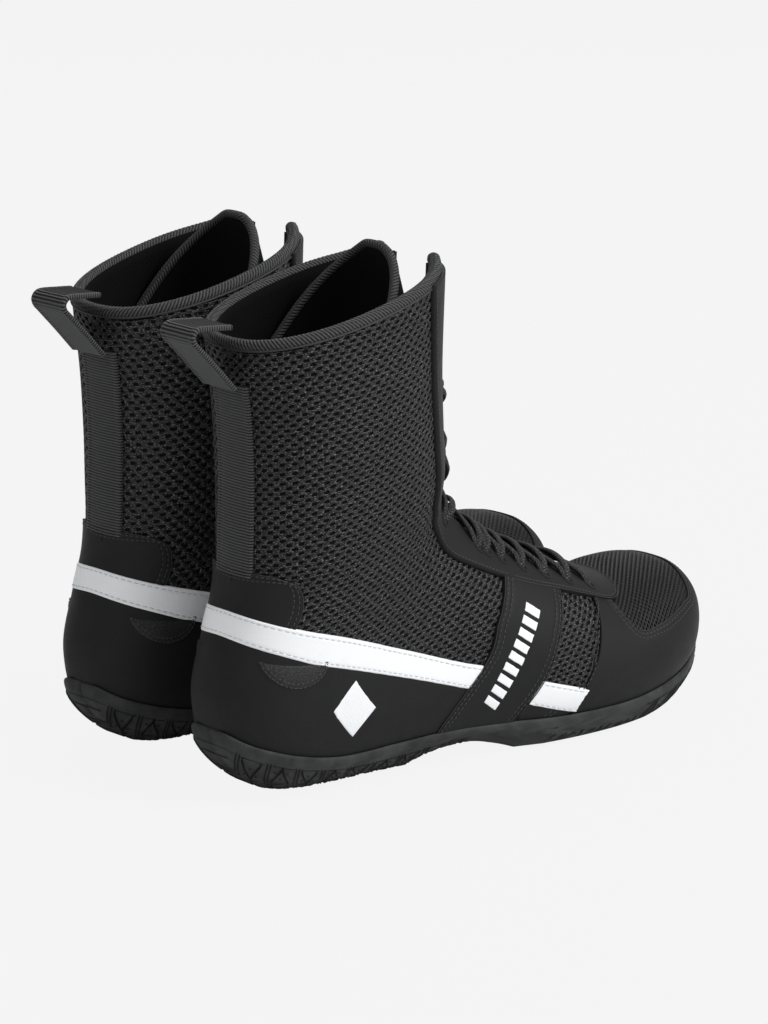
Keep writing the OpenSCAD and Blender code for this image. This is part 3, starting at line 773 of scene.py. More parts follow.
def ribbon(low, top):
    """Stations and angles of a band between two edges with as many places, each joined to its match."""
    low, top = np.asarray(low, float), np.asarray(top, float)
    fine = np.linspace(0, len(low) - 1, 50 * len(low))
    b, t = along(low, fine), along(top, fine)
    ends = [last(edge[:, 0], edge[:, 1]) for edge in (b, t)]
    reach = sum(travel(edge) for edge in ends) / 2
    where = np.interp(stops(reach[-1]) * reach[-1], reach, fine)
    b, t = along(low, where), along(top, where)
    up = stops(np.linalg.norm(ends[1] - ends[0], axis=1).mean())[:, None]
    return b[:, 0] + (t - b)[:, 0] * up, b[:, 1] + (t - b)[:, 1] * up


def rings(first, final, angles, rows, cols):
    """Stations and angles of a plain sheet between two stations and two girth angles."""
    s, angle = np.meshgrid(np.linspace(first, final, rows), np.linspace(*angles, cols), indexing="ij")
    return s, angle


def sheet_of(name, s, angle, depths, look, mover, stands_for=()):
    """A plain closed sheet between two depths."""
    surface = last(s, angle)
    low, high = depths
    return add_shell(name, skin(s, angle, high), skin(s, angle, low), lengths(surface, 1),
                     lengths(surface, 0), look, mover, stands_for)


# ---------------------------------------------------------------- perforated nets

def inside(polygon, x, y):
    """Which points lie inside a closed polygon."""
    polygon = np.asarray(polygon, float)
    found = np.zeros(x.shape, bool)
    for (x0, y0), (x1, y1) in zip(polygon, np.roll(polygon, -1, axis=0)):
        crosses = (y0 > y) != (y1 > y)
        with np.errstate(divide="ignore", invalid="ignore"):
            found ^= crosses & (x < (x1 - x0) * (y - y0) / (y1 - y0) + x0)
    return found


# The cloth's two faces, how much its threads round off towards a hole, and the furthest point of a chart
NET_IN, NET_OUT, NET_ROUND = -0.15, 0.45, 0.22
CHART_REACH = 320
# The eight points round a cell of the net, in half steps from its centre
CELL_ROUND = np.array([(-1, -1), (0, -1), (1, -1), (1, 0), (1, 1), (0, 1), (-1, 1), (-1, 0)])


def net(name, chart, keep, steps, hole, tilt, mover, stands_for=(), look=NET):
    """Fabric with punched holes on a chart. steps are the two ways from hole to hole, hole its half sizes,
    and keep tells which hole centres lie in the cloth."""
    a, b = np.array(steps, float)
    wide = int(CHART_REACH / min(abs(a[0]), abs(b[1])))
    i, j = (g.ravel() for g in np.meshgrid(np.arange(-wide, wide), np.arange(-wide, wide), indexing="ij"))
    centre = i[:, None] * a + j[:, None] * b
    kept = keep(centre[:, 0], centre[:, 1])
    i, j, centre = i[kept], j[kept], centre[kept]
    keys = np.stack([2 * i[:, None] + CELL_ROUND[:, 0], 2 * j[:, None] + CELL_ROUND[:, 1]], -1)
    code_step = 8 * wide
    code = (keys[..., 0] + 4 * wide) * code_step + keys[..., 1] + 4 * wide
    unique, corner = np.unique(code, return_inverse=True)
    corner = corner.reshape(code.shape)
    node_i, node_j = unique // code_step - 4 * wide, unique % code_step - 4 * wide
    outer = (node_i[:, None] * a + node_j[:, None] * b) / 2
    away = outer[corner] - centre[:, None]
    heading = np.arctan2(away[..., 1], away[..., 0])
    radius = 1 / np.hypot(np.cos(heading - tilt) / hole[0], np.sin(heading - tilt) / hole[1])
    rim = centre[:, None] + radius[..., None] * np.stack([np.cos(heading), np.sin(heading)], -1)
    flat = np.concatenate([outer, rim.reshape(-1, 2)])
    count = len(flat)
    rim_index = len(outer) + np.arange(corner.size).reshape(corner.shape)
    after, rim_after = np.roll(corner, -1, 1), np.roll(rim_index, -1, 1)
    top = np.stack([corner, after, rim_after, rim_index], -1).reshape(-1, 4)
    hole_wall = np.stack([rim_index, rim_after, rim_after + count, rim_index + count], -1).reshape(-1, 4)
    low, high = np.minimum(corner, after), np.maximum(corner, after)
    _, first, times = np.unique((low * count + high).ravel(), return_index=True, return_counts=True)
    lone = first[times == 1]
    p, q = corner.ravel()[lone], after.ravel()[lone]
    border = np.stack([q, p, p + count, q + count], -1)
    faces = np.concatenate([top, top[:, ::-1] + count, hole_wall, border])
    s, angle = chart.at(flat[:, 0], flat[:, 1])
    depth = np.full(len(flat), NET_OUT)
    depth[len(outer):] -= NET_ROUND
    points = np.concatenate([skin(s, angle, depth), skin(s, angle, NET_IN)])
    return add_piece(name, points, faces, np.concatenate([flat, flat]), look, mover, stands_for)


FLANKS = ((1, "lateral"), (-1, "medial"))

# Where the parts of the upper meet, in the side view from the heel towards the toe
COLLAR_STATION = 20.08
THROAT = 166
STAY_EDGE = [(222, 69), (196, 78), (157, 92), (131, 105), (122, 114), (120, 121), (106, 191), (103, 250)]
SADDLE_BACK = [(118, 17), (136, 54), (148, 74), (161, 95)]
SADDLE_FRONT = [(150, 15), (167, 36), (179, 54), (194, 79)]
TOE_SEAM = [(185, 12), (195, 31), (206, 49), (216, 72)]
STRIPE_LOW = [(41, 72), (85, 58), (124, 45), (131, 42.5)]
STRIPE_TOP = [(41, 88), (86, 72), (124, 58), (139, 53.5)]


def collar_points(count=24):
    """Side view points of the collar's seam from the throat back to the heel."""
    line = last(COLLAR_STATION, np.linspace(THROAT, 0, count))
    return [(y, z) for _, y, z in line]


# Side mesh: one cloth from under the stripe to the collar, the same on both sides of the heel
side_edge = side_points([(5, 92), (41, 83), (86, 67), (124, 53), (140, 49), (151, 73), (164, 92), (157, 97),
                         (135, 110), (127, 118), (124, 125), (110, 191), (107, 245)] + collar_points())
side_edge[0] = (0, 92)

# The heel strip and the heel tab hide the mesh: half width, lowest and highest point of each stretch
HIDDEN = ((9, 112, 200), (24, 90, 113))
# Distance from hole to hole in a row, and how much the rows rise towards the toe
SIDE_MESH = 5.9
ROW_RISE = 0.12


def in_side_net(side):
    """Tells which points lie in the side mesh of one flank."""
    def keep(u, v):
        hidden = [(np.abs(u) <= half) & (v >= low) & (v <= top) for half, low, top in HIDDEN]
        return inside(side_edge, np.abs(u), v) & (u * side >= 0) & ~np.any(hidden, axis=0)
    return keep


for side, name in FLANKS:
    steps = ((SIDE_MESH, ROW_RISE * SIDE_MESH * side), (SIDE_MESH / 2, 2.65))
    net(f"side_mesh_{name}", SIDE, in_side_net(side), steps, (1.5, 1.0), 0.4 * side, "ankle")

# Vamp mesh between the saddle and the toe seam, and the mesh in the toe cap's window
vamp_edge = [(168, 28), (192, 20), (203, 36), (213, 54), (219, 72), (196, 82), (182, 62), (172, 44)]


def in_vamp_net(side):
    """Tells which points lie in the vamp mesh of one flank."""
    edge = side_points(vamp_edge)
    return lambda u, v: inside(edge, side * u, v)


for side, name in FLANKS:
    net(f"vamp_mesh_{name}", SIDE, in_vamp_net(side), ((5.2, 0.6 * side), (2.6, 2.6)), (1.25, 0.95),
        0.3 * side, "ball", ("vamp_flex",) if side > 0 else ())

WINDOW_RIM = [(222, 76), (227, 60), (233, 51), (243, 48.5), (258, 50.5), (274, 54.5), (287, 59.5),
              (293.5, 64)]
window_rim = [on_top(y, z) for y, z in WINDOW_RIM]
window_rim[-1] = (0, on_top(294, 67.3)[1])
window_rim.insert(0, (0, window_rim[0][1]))
net("toe_mesh", TOP, lambda u, v: inside(window_rim, np.abs(u), v), ((3.0, 0), (1.5, 1.55)), (0.85, 0.5),
    0.0, "ball", look=TOE_NET)

# ---------------------------------------------------------------- cloth under the overlays

BACKING = (-1.5, -0.3)
FOOT_LINING, SHAFT_LINING = (-5.6, -3.6), (-5.6, -2.2)
COUNTER = (-3.3, -2.1)
QUARTER_LOW = wrapped(37, [(28, 26), (80, 21), (149.5, 20)])

sheet_of("toe_backing", *rings(0.9, 7.0, (58, 302), 40, 60), BACKING, BASE, "ball", ("toe_mesh",))
for side, name in FLANKS:
    edges = [side_points(line, side) for line in ([(150.5, 20), (199, 19)], [(189, 90), (213, 80.5)])]
    sheet_of(f"vamp_backing_{name}", *patch(SIDE, *edges), BACKING, BASE, "ball")
sheet_of("quarter_backing",
         *patch(SIDE, QUARTER_LOW, wrapped(111, [(62, 111), (112, 111), (145, 111.5), (188, 90.5)])),
         BACKING, BASE, "ankle", ("quarter_lateral", "quarter_medial"))
sheet_of("ankle_backing", *patch(SIDE, wrapped(108, [(62, 108), (112, 108), (143, 109)]),
                                 wrapped(139, [(50, 144), (90, 150), (126, 156)])),
         BACKING, BASE, "ankle", ("ankle_panel",))
sheet_of("shaft_backing", *rings(16.9, 20.15, (-166, 166), 30, 90), BACKING, BASE, "ankle", ("shaft_mesh",))
sheet_of("shaft_lining", *rings(16.6, 20.15, (-157, 157), 30, 80), SHAFT_LINING, LINING, "ankle",
         ("shaft_lining",))
sheet_of("foot_lining", *patch(SIDE, QUARTER_LOW, wrapped(132, [(50, 137), (90, 142), (124, 146)])),
         FOOT_LINING, LINING, "ankle", ("foot_lining",))
sheet_of("heel_counter", *patch(SIDE, wrapped(40, [(25, 30), (64, 24)]), wrapped(88, [(34, 80), (70, 62)])),
         COUNTER, STIFFENER, "foot", ("heel_counter",))

# ---------------------------------------------------------------- overlays

OVERLAY, SADDLE, EYESTAY = (0.3, 1.65), (0.3, 2.6), (0.3, 2.9)
STRIPE, FRONT_STRIPE = (0.3, 2.1), (0.3, 2.0)
# Distances of seams from a panel's edge
ONE_ROW, TWO_ROWS = (2.1,), (1.9, 4.5)
# How far a seam's thread and a cut edge's line lie below a panel's face
THREAD_SUNK, CUT_SUNK = 0.08, 0.3


def overlay(name, places_of, depths, look, mover, stands_for=(), open_edges="", seams="", rows=ONE_ROW,
            pitch=2.9, raw=True, kind="black"):
    """A cut panel with its seams and its raw edges."""
    s, angle = places_of
    panel(name, s, angle, depths, look, mover, stands_for, open_edges, rows)
    sew(s, angle, seams, depths[1] - THREAD_SUNK, mover, rows, pitch, kind)
    if raw:
        raw_edge(s, angle, seams, depths[1] - CUT_SUNK, mover)


overlay("foxing", patch(SIDE, wrapped(36, [(10, 30), (30, 23), (60, 18.5), (90, 18), (121, 18)]),
                        wrapped(88, [(41, 75), (85, 61), (124, 48), (138, 44)])),
        OVERLAY, LEATHER, "foot", ("foxing",), "low top start end")
overlay("stripe", patch(SIDE, wrapped(85.5, STRIPE_LOW), wrapped(98, STRIPE_TOP)), STRIPE, TRIM, "foot",
        ("stripe",), "start end", "low top", (2.0,), 3.4, False, "grey")
TAB_END = [(27, 91), (31, 100), (31.5, 108), (29.5, 112.5), (26, 114.5)]
overlay("heel_tab", patch(SIDE, wrapped(94, [(16, 93.5), (27, 91)]),
                          wrapped(118, [(12, 118), (20, 117), (26, 114.5)]),
                          side_points(TAB_END, -1), side_points(TAB_END)),
        OVERLAY, LEATHER, "ankle", ("heel_tab",), "low", "top start end", TWO_ROWS, 2.6)
for side, name in FLANKS:
    saddle = [side_points(line, side) for line in ([(118, 17), (150, 15)], [(161, 95), (194, 79)],
                                                   SADDLE_BACK, SADDLE_FRONT)]
    overlay(f"saddle_{name}", patch(SIDE, *saddle), SADDLE, LEATHER, "ball", (f"saddle_{name}",), "low top",
            "start end", TWO_ROWS, 2.7)
    vamp = [side_points(line, side) for line in ([(146, 14), (187, 11)], [(163, 31.5), (193, 23.5)])]
    overlay(f"vamp_panel_{name}", patch(SIDE, *vamp), OVERLAY, LEATHER, "ball", (), "low top start end")
    front = [side_points(line, side) for line in ([(163, 30), (192, 21)], [(170, 41), (198, 32)])]
    overlay(f"vamp_stripe_{name}", patch(SIDE, *front), FRONT_STRIPE, TRIM, "ball", (), "start end",
            "low top", (1.7,), 3.4, False, "grey")

# Toe cap: a band from the toe seam and the sole's rim up to the mesh window
TOE_RIM = [(200, 14), (215, 13.5), (232, 14), (258, 17), (279, 21.5), (291, 28), (298, 35)]
TOE_WINDOW = [(228, 72), (229.5, 66), (231, 62), (234, 56.5), (237.5, 53), (243, 51.5), (250, 52.3),
              (257, 53.5), (266, 55.8), (275, 58.4), (283, 61.6)]
window_front = station(290.5, 66.5)[0]
toe_low = both_sides([(220, 74)] + TOE_SEAM[2::-1] + TOE_RIM, [(0.1, 120), (0.05, 180), (0.1, 240)])
window_corner = window_front + 0.12
toe_top = both_sides(TOE_WINDOW, [(window_corner, 165), (window_front, 180), (window_corner, 195)])
overlay("toe_cap", ribbon(toe_low, toe_top), OVERLAY, LEATHER, "ball", ("toe_cap",), "start end", "top",
        (1.7, 4.1), 2.5)
for side, name in FLANKS:
    seam = [side_points(line, side) for line in ([TOE_SEAM[0], (189, 11)], [TOE_SEAM[3], (222, 71.5)],
                                                 TOE_SEAM)]
    for inset in (1.9, 4.4):
        seam_of(*inset_line(*patch(SIDE, *seam), "start", inset), OVERLAY[1] - 0.1, 2.7, ("ball", "black"))


# Eyestay: the lower part runs round the front of the throat, the upper part up each side of it
SPLIT = 8.0


def stay_edge(s):
    """Girth angle of the eyestay's outer edge at a station."""
    found_s, found_angle = station(*np.array(STAY_EDGE, float).T)
    return np.interp(s, found_s, found_angle)


split_edge = [(s, stay_edge(s)) for s in (SPLIT, 7.4, 6.7, 6.0, 5.3)]
split_edge += [(4.95, 149), (4.82, 158), (4.78, 170), (4.77, 180)]
split_throat = [(SPLIT, THROAT), (7.4, THROAT), (6.8, THROAT), (6.3, THROAT + 0.3), (6.0, 167.5),
                (5.85, 170), (5.76, 173), (5.72, 176.5), (5.71, 180)]


def round_throat(line):
    """The line with its mirror image on the medial side."""
    return line + [(s, 360 - angle) for s, angle in line[-2::-1]]


overlay("lower_eyestay", ribbon(round_throat(split_edge), round_throat(split_throat)), EYESTAY, LEATHER,
        "ball", ("lower_eyestay",), "start end", "low top", (1.8,), 2.3)
arm = np.concatenate([np.arange(8, 17, 0.75), np.arange(17, 20, 0.5), [COLLAR_STATION + 0.05]])
for side, name in FLANKS:
    arm_edges = [[(s, side * stay_edge(s)) for s in arm], [(s, side * THROAT) for s in arm]]
    overlay(f"upper_eyestay_{name}", ribbon(*arm_edges), EYESTAY, LEATHER, "ankle",
            ("upper_eyestay",) if side > 0 else (), "start end", "low top", (1.8,), 2.3, raw=False)

# Webbing: ribs across its middle, between two plain raised borders
RIB = 1.4
RIB_STEP = RIB / 5
RIBBED_HALF = 9.6
BORDER_HALF = 1.1


def webbing_relief(x, reach, rib_tall, border_tall, border_at):
    """How far the webbing's ribs and borders stand out, at a place across it and a distance along it."""
    ribs = rib_tall * np.sin(2 * math.pi * reach / RIB) * (np.abs(x) < RIBBED_HALF)
    return ribs + border_tall * (np.abs(np.abs(x) - border_at) < BORDER_HALF)


# Heel strip up the back of the shaft, with its edges pressed down by EDGE_DROP
STRIP_HALF, STRIP_EDGE, EDGE_DROP = 12.5, 12.2, 0.9
STRIP = (0.3, 1.7)
STRIP_LOW, STRIP_TOP = 115, 207
strip_v, strip_u = np.meshgrid(np.arange(STRIP_LOW, STRIP_TOP, RIB_STEP),
                               np.linspace(-STRIP_HALF, STRIP_HALF, 41), indexing="ij")
strip_place = SIDE.at(strip_u, strip_v)
strip_out = STRIP[1] + webbing_relief(strip_u, strip_v, 0.2, 0.45, 10.9)
strip_out -= EDGE_DROP * (np.abs(strip_u) > STRIP_EDGE)
add_shell("heel_strip", skin(*strip_place, strip_out), skin(*strip_place, STRIP[0]), strip_u, strip_v,
          WEBBING, "ankle", ("heel_strip",))

# Pull loop: the same webbing, folded over and sewn inside the collar
LOOP_PATH = [(7.4, 206.5), (-3, 218), (-13, 228.5), (-15.8, 231.5), (-16.5, 234.5), (-14.5, 237),
             (-11, 237.5), (-3, 236.8), (5.6, 236)]
LOOP_HALF = 12
LOOP_THICK = 1.8
fine_path = even(along(np.array(LOOP_PATH, float), np.linspace(0, len(LOOP_PATH) - 1, 900)), RIB_STEP)
heading = np.gradient(fine_path, axis=0)
heading /= np.linalg.norm(heading, axis=1, keepdims=True)
loop_x = np.linspace(-LOOP_HALF, LOOP_HALF, 41)
loop_reach = travel(fine_path)[:, None]


def loop_face(way):
    """The outer face of the webbing where way is 1, and its inner face where way is -1."""
    away = (LOOP_THICK / 2 + webbing_relief(loop_x, loop_reach, 0.16, 0.3, 10.6)) * way
    y = fine_path[:, 0, None] - heading[:, 1, None] * away
    z = fine_path[:, 1, None] + heading[:, 0, None] * away
    return np.stack(np.broadcast_arrays(loop_x[None], y, z), -1)


add_shell("pull_loop", loop_face(1), loop_face(-1), loop_x[None], loop_reach, WEBBING, "loop", ("pull_loop",))

# ---------------------------------------------------------------- collar and tongue

BINDING_WIDE, BINDING_THICK, BINDING_DEPTH = 6.2, 6.2, -2.15
BINDING_SIDES = 16
BINDING_STATION, BINDING_END = 20.13, 160
# How many stations the binding rises at the collar's tips, and from which girth angle on
TIP_RISE, TIP_START = 0.09, 125
RIB_TALL, RIB_PITCH, ROUNDED_END = 0.045, 2.2, 3.5
round_collar = np.linspace(-BINDING_END, BINDING_END, 1200)
tip_share = np.clip((np.abs(round_collar) - TIP_START) / (BINDING_END - TIP_START), 0, 1)
rising = BINDING_STATION + TIP_RISE * tip_share ** 2
base_line = skin(rising, round_collar, BINDING_DEPTH)
path = even(np.concatenate([base_line, base_line - skin(rising, round_collar, BINDING_DEPTH - 1)], 1), 0.55)


def binding_ribs(reach, turn):
    """Diagonal ribs of the knitted binding, and its rounded ends."""
    end = np.minimum(reach, reach.max() - reach)
    close = np.sqrt(np.clip(1 - (1 - np.clip(end / ROUNDED_END, 0, 1)) ** 2, 0.02, 1))
    return (1 + RIB_TALL * np.sin(2 * math.pi * reach / RIB_PITCH + 2 * turn)) * close - 1


binding = add_piece("collar_binding", *tube_body(path[:, :3], path[:, 3:], BINDING_WIDE, BINDING_THICK,
                                                 BINDING_SIDES, binding_ribs),
                    BINDING, "ankle", ("collar_binding",))
# Piping round the outside of the collar's seam
lay_cord(np.full(900, 20.09), np.linspace(-165, 165, 900), 0.75, 1.1, 1.1, ("ankle", "piping"), 0.6)

# How far the tongue's top leans in, from which station on and over how many
TONGUE_LEAN, LEAN_START, LEAN_OVER = 14, 18, 2
# Half the tongue's width in degrees, and how many stations its sides drop for its arch
TONGUE_WIDE, ARCH_DROP, ARCH_START, ARCH_OVER = 98, 1.1, 17, 3
# Stations of the tongue's toe end, of the split between its two parts, of its top and of where its bound
# edge starts
TONGUE_TOE, TONGUE_SPLIT, TONGUE_TOP, BOUND_FROM = 5.6, 8.75, 20.3, 16.4
TONGUE_IN, TONGUE_OUT, TONGUE_PUFF = -9.9, -6.9, 0.5
# The channels' half waves in 180 degrees round the leg
TONGUE_CHANNELS = 7.5


def tongue_lean(s, angle):
    """How far the tongue leans in, most at its middle."""
    rise = np.maximum(0, s - LEAN_START) / LEAN_OVER
    return TONGUE_LEAN * rise ** 2 * np.minimum(np.cos(np.radians(angle)), 0)


def tongue_arch(s, angle):
    """Stations of the tongue, lowered towards its sides near the top, which makes a round arch."""
    rise = np.maximum(0, (s - ARCH_START) / ARCH_OVER)
    return s - ARCH_DROP * rise * (np.abs(angle - 180) / TONGUE_WIDE) ** 4


def tongue(name, first, final, half, rows, mover):
    """One part of the padded tongue, with rows of sewn channels."""
    s, angle = rings(first, final, (180 - half, 180 + half), rows, 90)
    puff = TONGUE_PUFF * np.abs(np.sin(np.radians(angle * TONGUE_CHANNELS))) ** 0.5
    shift = tongue_lean(s, angle)
    s = tongue_arch(s, angle)
    surface = last(s, angle)
    return add_shell(name, skin(s, angle, TONGUE_OUT + puff + shift), skin(s, angle, TONGUE_IN + shift),
                     lengths(surface, 1), lengths(surface, 0), TONGUE, mover, (name,))


padded = binding + tongue("lower_tongue", TONGUE_TOE, TONGUE_SPLIT, 52, 40, "ball")
padded += tongue("upper_tongue", TONGUE_SPLIT, TONGUE_TOP, TONGUE_WIDE, 90, "ankle")
# The tongue's bound edge: up one side, over the arch and down the other, at even steps of about 0.5 mm
first_side, last_side, per_station = 180.5 - TONGUE_WIDE, 179.5 + TONGUE_WIDE, 12
tongue_corners = [(first_side, BOUND_FROM), (first_side, TONGUE_TOP), (last_side, TONGUE_TOP),
                  (last_side, BOUND_FROM)]
tongue_edge, tongue_tip = even(np.array(tongue_corners) * (1, per_station), 0.5).T / ((1,), (per_station,))
edge_depth = (TONGUE_IN + TONGUE_OUT) / 2 + tongue_lean(tongue_tip, tongue_edge)
lay_cord(tongue_arch(tongue_tip, tongue_edge), tongue_edge, edge_depth, 4.2, 4.6, ("ankle", "binding"),
         0.7, 10)

# ---------------------------------------------------------------- laces

LACE_WIDE, LACE_HIGH = 4.4, 2.5
EYELET_TURN, EYELET_RADIUS = 27, 2.7
LOWER_ROWS = (5.7, 6.3, 6.9, 7.5, 8.1, 8.6)
UPPER_ROWS = (8.9, 11.6, 17.3, 18.6)
# How deep a strand starts in its eyelet, how high it lies on the eyestay, and the share of its length over
# which it comes up
STRAND_IN, STRAND_ON, STRAND_RISE = -2.2, 2.4, 0.13
# How far the strands of the two crossing ways bow out, and the straight strands of the end rows
BOWS, END_BOW = ((1, 1.1), (-1, 3.4)), 0.6


def strand(start, end, side, mover, bow):
    """One strand of lace from an eyelet of a row up to the eyelet across the throat in the next row."""
    t = np.linspace(0, 1, 60)
    s = start + (end - start) * t
    angle = 180 + side * EYELET_TURN * (2 * t - 1)
    rise = np.clip(np.minimum(t, 1 - t) / STRAND_RISE, 0, 1) ** 0.6
    depth = EYESTAY[1] + STRAND_IN + rise * (LACE_HIGH / 2 + STRAND_ON) + bow * np.sin(math.pi * t)
    lay_cord(s, angle, depth, LACE_WIDE, LACE_HIGH, (mover, "lace"), 0.5, 10)


def eyelet(row, angle, mover):
    """The rolled edge of an eyelet."""
    middle = last(row, angle)
    per_s = np.linalg.norm(last(row + 0.05, angle) - middle) / 0.05
    per_angle = np.linalg.norm(last(row, angle + 1) - middle)
    turn = np.linspace(0, 2 * math.pi, 40)
    lay_cord(row + EYELET_RADIUS * np.sin(turn) / per_s, angle + EYELET_RADIUS * np.cos(turn) / per_angle,
             EYESTAY[1], 1.1, 0.9, (mover, "eyelet"), 0.6)


for mover, lace_rows in (("ball", LOWER_ROWS), ("ankle", LOWER_ROWS[-1:] + UPPER_ROWS)):
    for low_row, high_row in zip(lace_rows, lace_rows[1:]):
        for side, bow in BOWS:
            strand(low_row, high_row, side, mover, bow)
strand(LOWER_ROWS[0], LOWER_ROWS[0], 1, "ball", END_BOW)
strand(UPPER_ROWS[-1], UPPER_ROWS[-1], 1, "ankle", END_BOW)
for mover, lace_rows in (("ball", LOWER_ROWS), ("ankle", UPPER_ROWS)):
    for row in lace_rows:
        for side in (1, -1):
            eyelet(row, 180 + side * EYELET_TURN, mover)

# ---------------------------------------------------------------- sole

SOLE_COLUMNS, FLAT_COLUMNS, WALL_ROWS, LIP_ROWS = 1150, 9, 58, 7
# The flat underside: its edge in shares of the rim's width and of the rim's distance from the middle
HEEL_EDGE, BALL_EDGE, WIDENS_FROM, WIDENS_OVER = 0.35, 0.85, 60, 120
BACK_EDGE, TOE_EDGE, SOLE_MIDDLE = 0.74, 0.91, 150
# Its height: the treads', the waist's middle, half length and lift, and the toe's start, length and spring
TREAD_TALL, TREADS, TREAD_WIDE = 1.3, ((38, 92), (199, 248)), 0.93
WAIST_MIDDLE, WAIST_HALF, WAIST_LIFT = 128, 36, 6.5
SPRING_START, SPRING_LONG, TOE_SPRING = 246, 54, 15
TREAD_GROOVE, TREAD_PITCH = 0.5, 8
WALL_POWER = 1.22
RIM_OUT, RIM_IN, FLOOR_IN, LIP_TALL = 3.6, 2.0, 0.5, 1.1


def sole_half(side):
    """Outer and inner points of one half of the sole, from heel to toe and from the middle to the lip, and
    how much painted shade darkens each outer point in its groove."""
    place = np.linspace(0.0002, len(RIM) - 1.0002, 4000)
    flat = along(RIM, place)
    s, angle = station(flat[:, 0], flat[:, 1])
    rim = skin(s, side * angle, RIM_OUT)
    reach = travel(rim)
    where = np.linspace(0, reach[-1], SOLE_COLUMNS)
    s, angle = np.interp(where, reach, s), np.interp(where, reach, angle)
    rim = points_at(where, reach, rim)
    rim[[0, -1], 0] = 0
    y = rim[:, 1]

    waist = np.maximum(0, 1 - ((y - WAIST_MIDDLE) / WAIST_HALF) ** 2)
    toe = np.maximum(0, y - SPRING_START) / SPRING_LONG
    bottom = SINK + TREAD_TALL + WAIST_LIFT * waist + TOE_SPRING * toe ** 2
    edge_y = SOLE_MIDDLE + (y - SOLE_MIDDLE) * np.where(y < SOLE_MIDDLE, BACK_EDGE, TOE_EDGE)
    edge_wide = HEEL_EDGE + (BALL_EDGE - HEEL_EDGE) * np.clip((y - WIDENS_FROM) / WIDENS_OVER, 0, 1)
    share = np.linspace(0, 1, FLAT_COLUMNS + 1)[None, :-1]
    flat_x = rim[:, :1] * edge_wide[:, None] * share
    pad = sum(np.clip(np.minimum(edge_y - a, b - edge_y) / 2, 0, 1) for a, b in TREADS)
    pad = pad[:, None] * (share < TREAD_WIDE)
    groove = TREAD_GROOVE * (np.sin(2 * math.pi * edge_y[:, None] / TREAD_PITCH + 6 * share) > 0.6)
    flat_z = bottom[:, None] - TREAD_TALL * pad + groove * pad
    flat_rows = np.stack([flat_x, np.broadcast_to(edge_y[:, None], flat_x.shape), flat_z], -1)

    turn = np.linspace(0, math.pi / 2, WALL_ROWS)
    across, down = (np.maximum(wave, 0)[:, None] ** WALL_POWER for wave in (np.sin(turn), np.cos(turn)))
    wall_x = rim[:, 0] * (edge_wide + (1 - edge_wide) * across)
    wall_y = edge_y + (y - edge_y) * across
    wall_z = rim[:, 2] + (bottom - rim[:, 2]) * down
    wall = np.stack([wall_x, wall_y, wall_z], -1).transpose(1, 0, 2)
    moved, grooves = emboss(wall, where, side)

    lip_turn = np.linspace(0, math.pi, LIP_ROWS + 1)[1:]
    lip_depth = (RIM_OUT + RIM_IN) / 2 + (RIM_OUT - RIM_IN) / 2 * np.cos(lip_turn)
    lip = skin(s[:, None], side * angle[:, None], lip_depth[None])
    lip[..., 2] += LIP_TALL * np.sin(lip_turn)
    lip[[0, -1], :, 0] = 0
    outer = np.concatenate([flat_rows, wall + moved, lip], 1)
    # Painted shade for the rubber's colour: how much each point of the wall is darkened in its groove
    dark = np.zeros(outer.shape[:2])
    dark[:, FLAT_COLUMNS:FLAT_COLUMNS + WALL_ROWS] = grooves
    v = np.minimum(np.linspace(0, 1.15, outer.shape[1]), 1)[None]
    inner = skin(s[:, None], side * v * angle[:, None], FLOOR_IN + (RIM_IN - 0.1 - FLOOR_IN) * v ** 3)
    inner[[0, -1], :, 0] = 0
    return outer, inner, dark


# The moulded pattern repeats every CELL along the sole and leans. Each cell has two thin grooves and then a
# framed field with a zigzag, which two tiers share where the wall is taller than TIER_TALL
CELL, LEAN, TIER_TALL, GROOVE_DEEP = 18.0, 0.5, 19.0, 0.8
# The plain band under the lip, at the heel and ahead of it, where it narrows, and the plain foot of the wall
LIP_BAND, FRONT_LIP_BAND, BAND_END, BAND_OVER, FOOT_BAND = 5.5, 3.2, 150, 40, 1.6
LEAST_TALL = 3.0
THIN_GROOVES, THIN_HALF = (1.6, 3.6), 0.45
FIELD_START, FIELD = 5.2, CELL - 6.8
ZIG_LOW, ZIG_TALL, THICK_HALF = 0.12, 0.76, 0.75
FRAME_LINES, FRAME_HALF, FRAME_START = (0.06, 0.94), 0.35, 5
DOTS = ((0.5, 0.62), (0.16, 0.3), (0.84, 0.3))
# The grooves get shallower towards the wall's foot, up to SHALLOW of it, and where the wall is low
SHALLOW, FULL_TALL = 0.4, 18
# The waist is smooth, and the wall beside the ball has its pattern only up to PART_WAY
SMOOTH_MIDDLE, SMOOTH_HALF, SMOOTH_FADE = 156, 20, 6
BALL_START, BALL_END, PART_WAY = 182, 240, 0.55


def line_at(distance, half, soft=0.18):
    """1 within half of a line and 0 away from it, with soft edges."""
    return 1 / (1 + np.exp((np.abs(distance) - half) / soft))


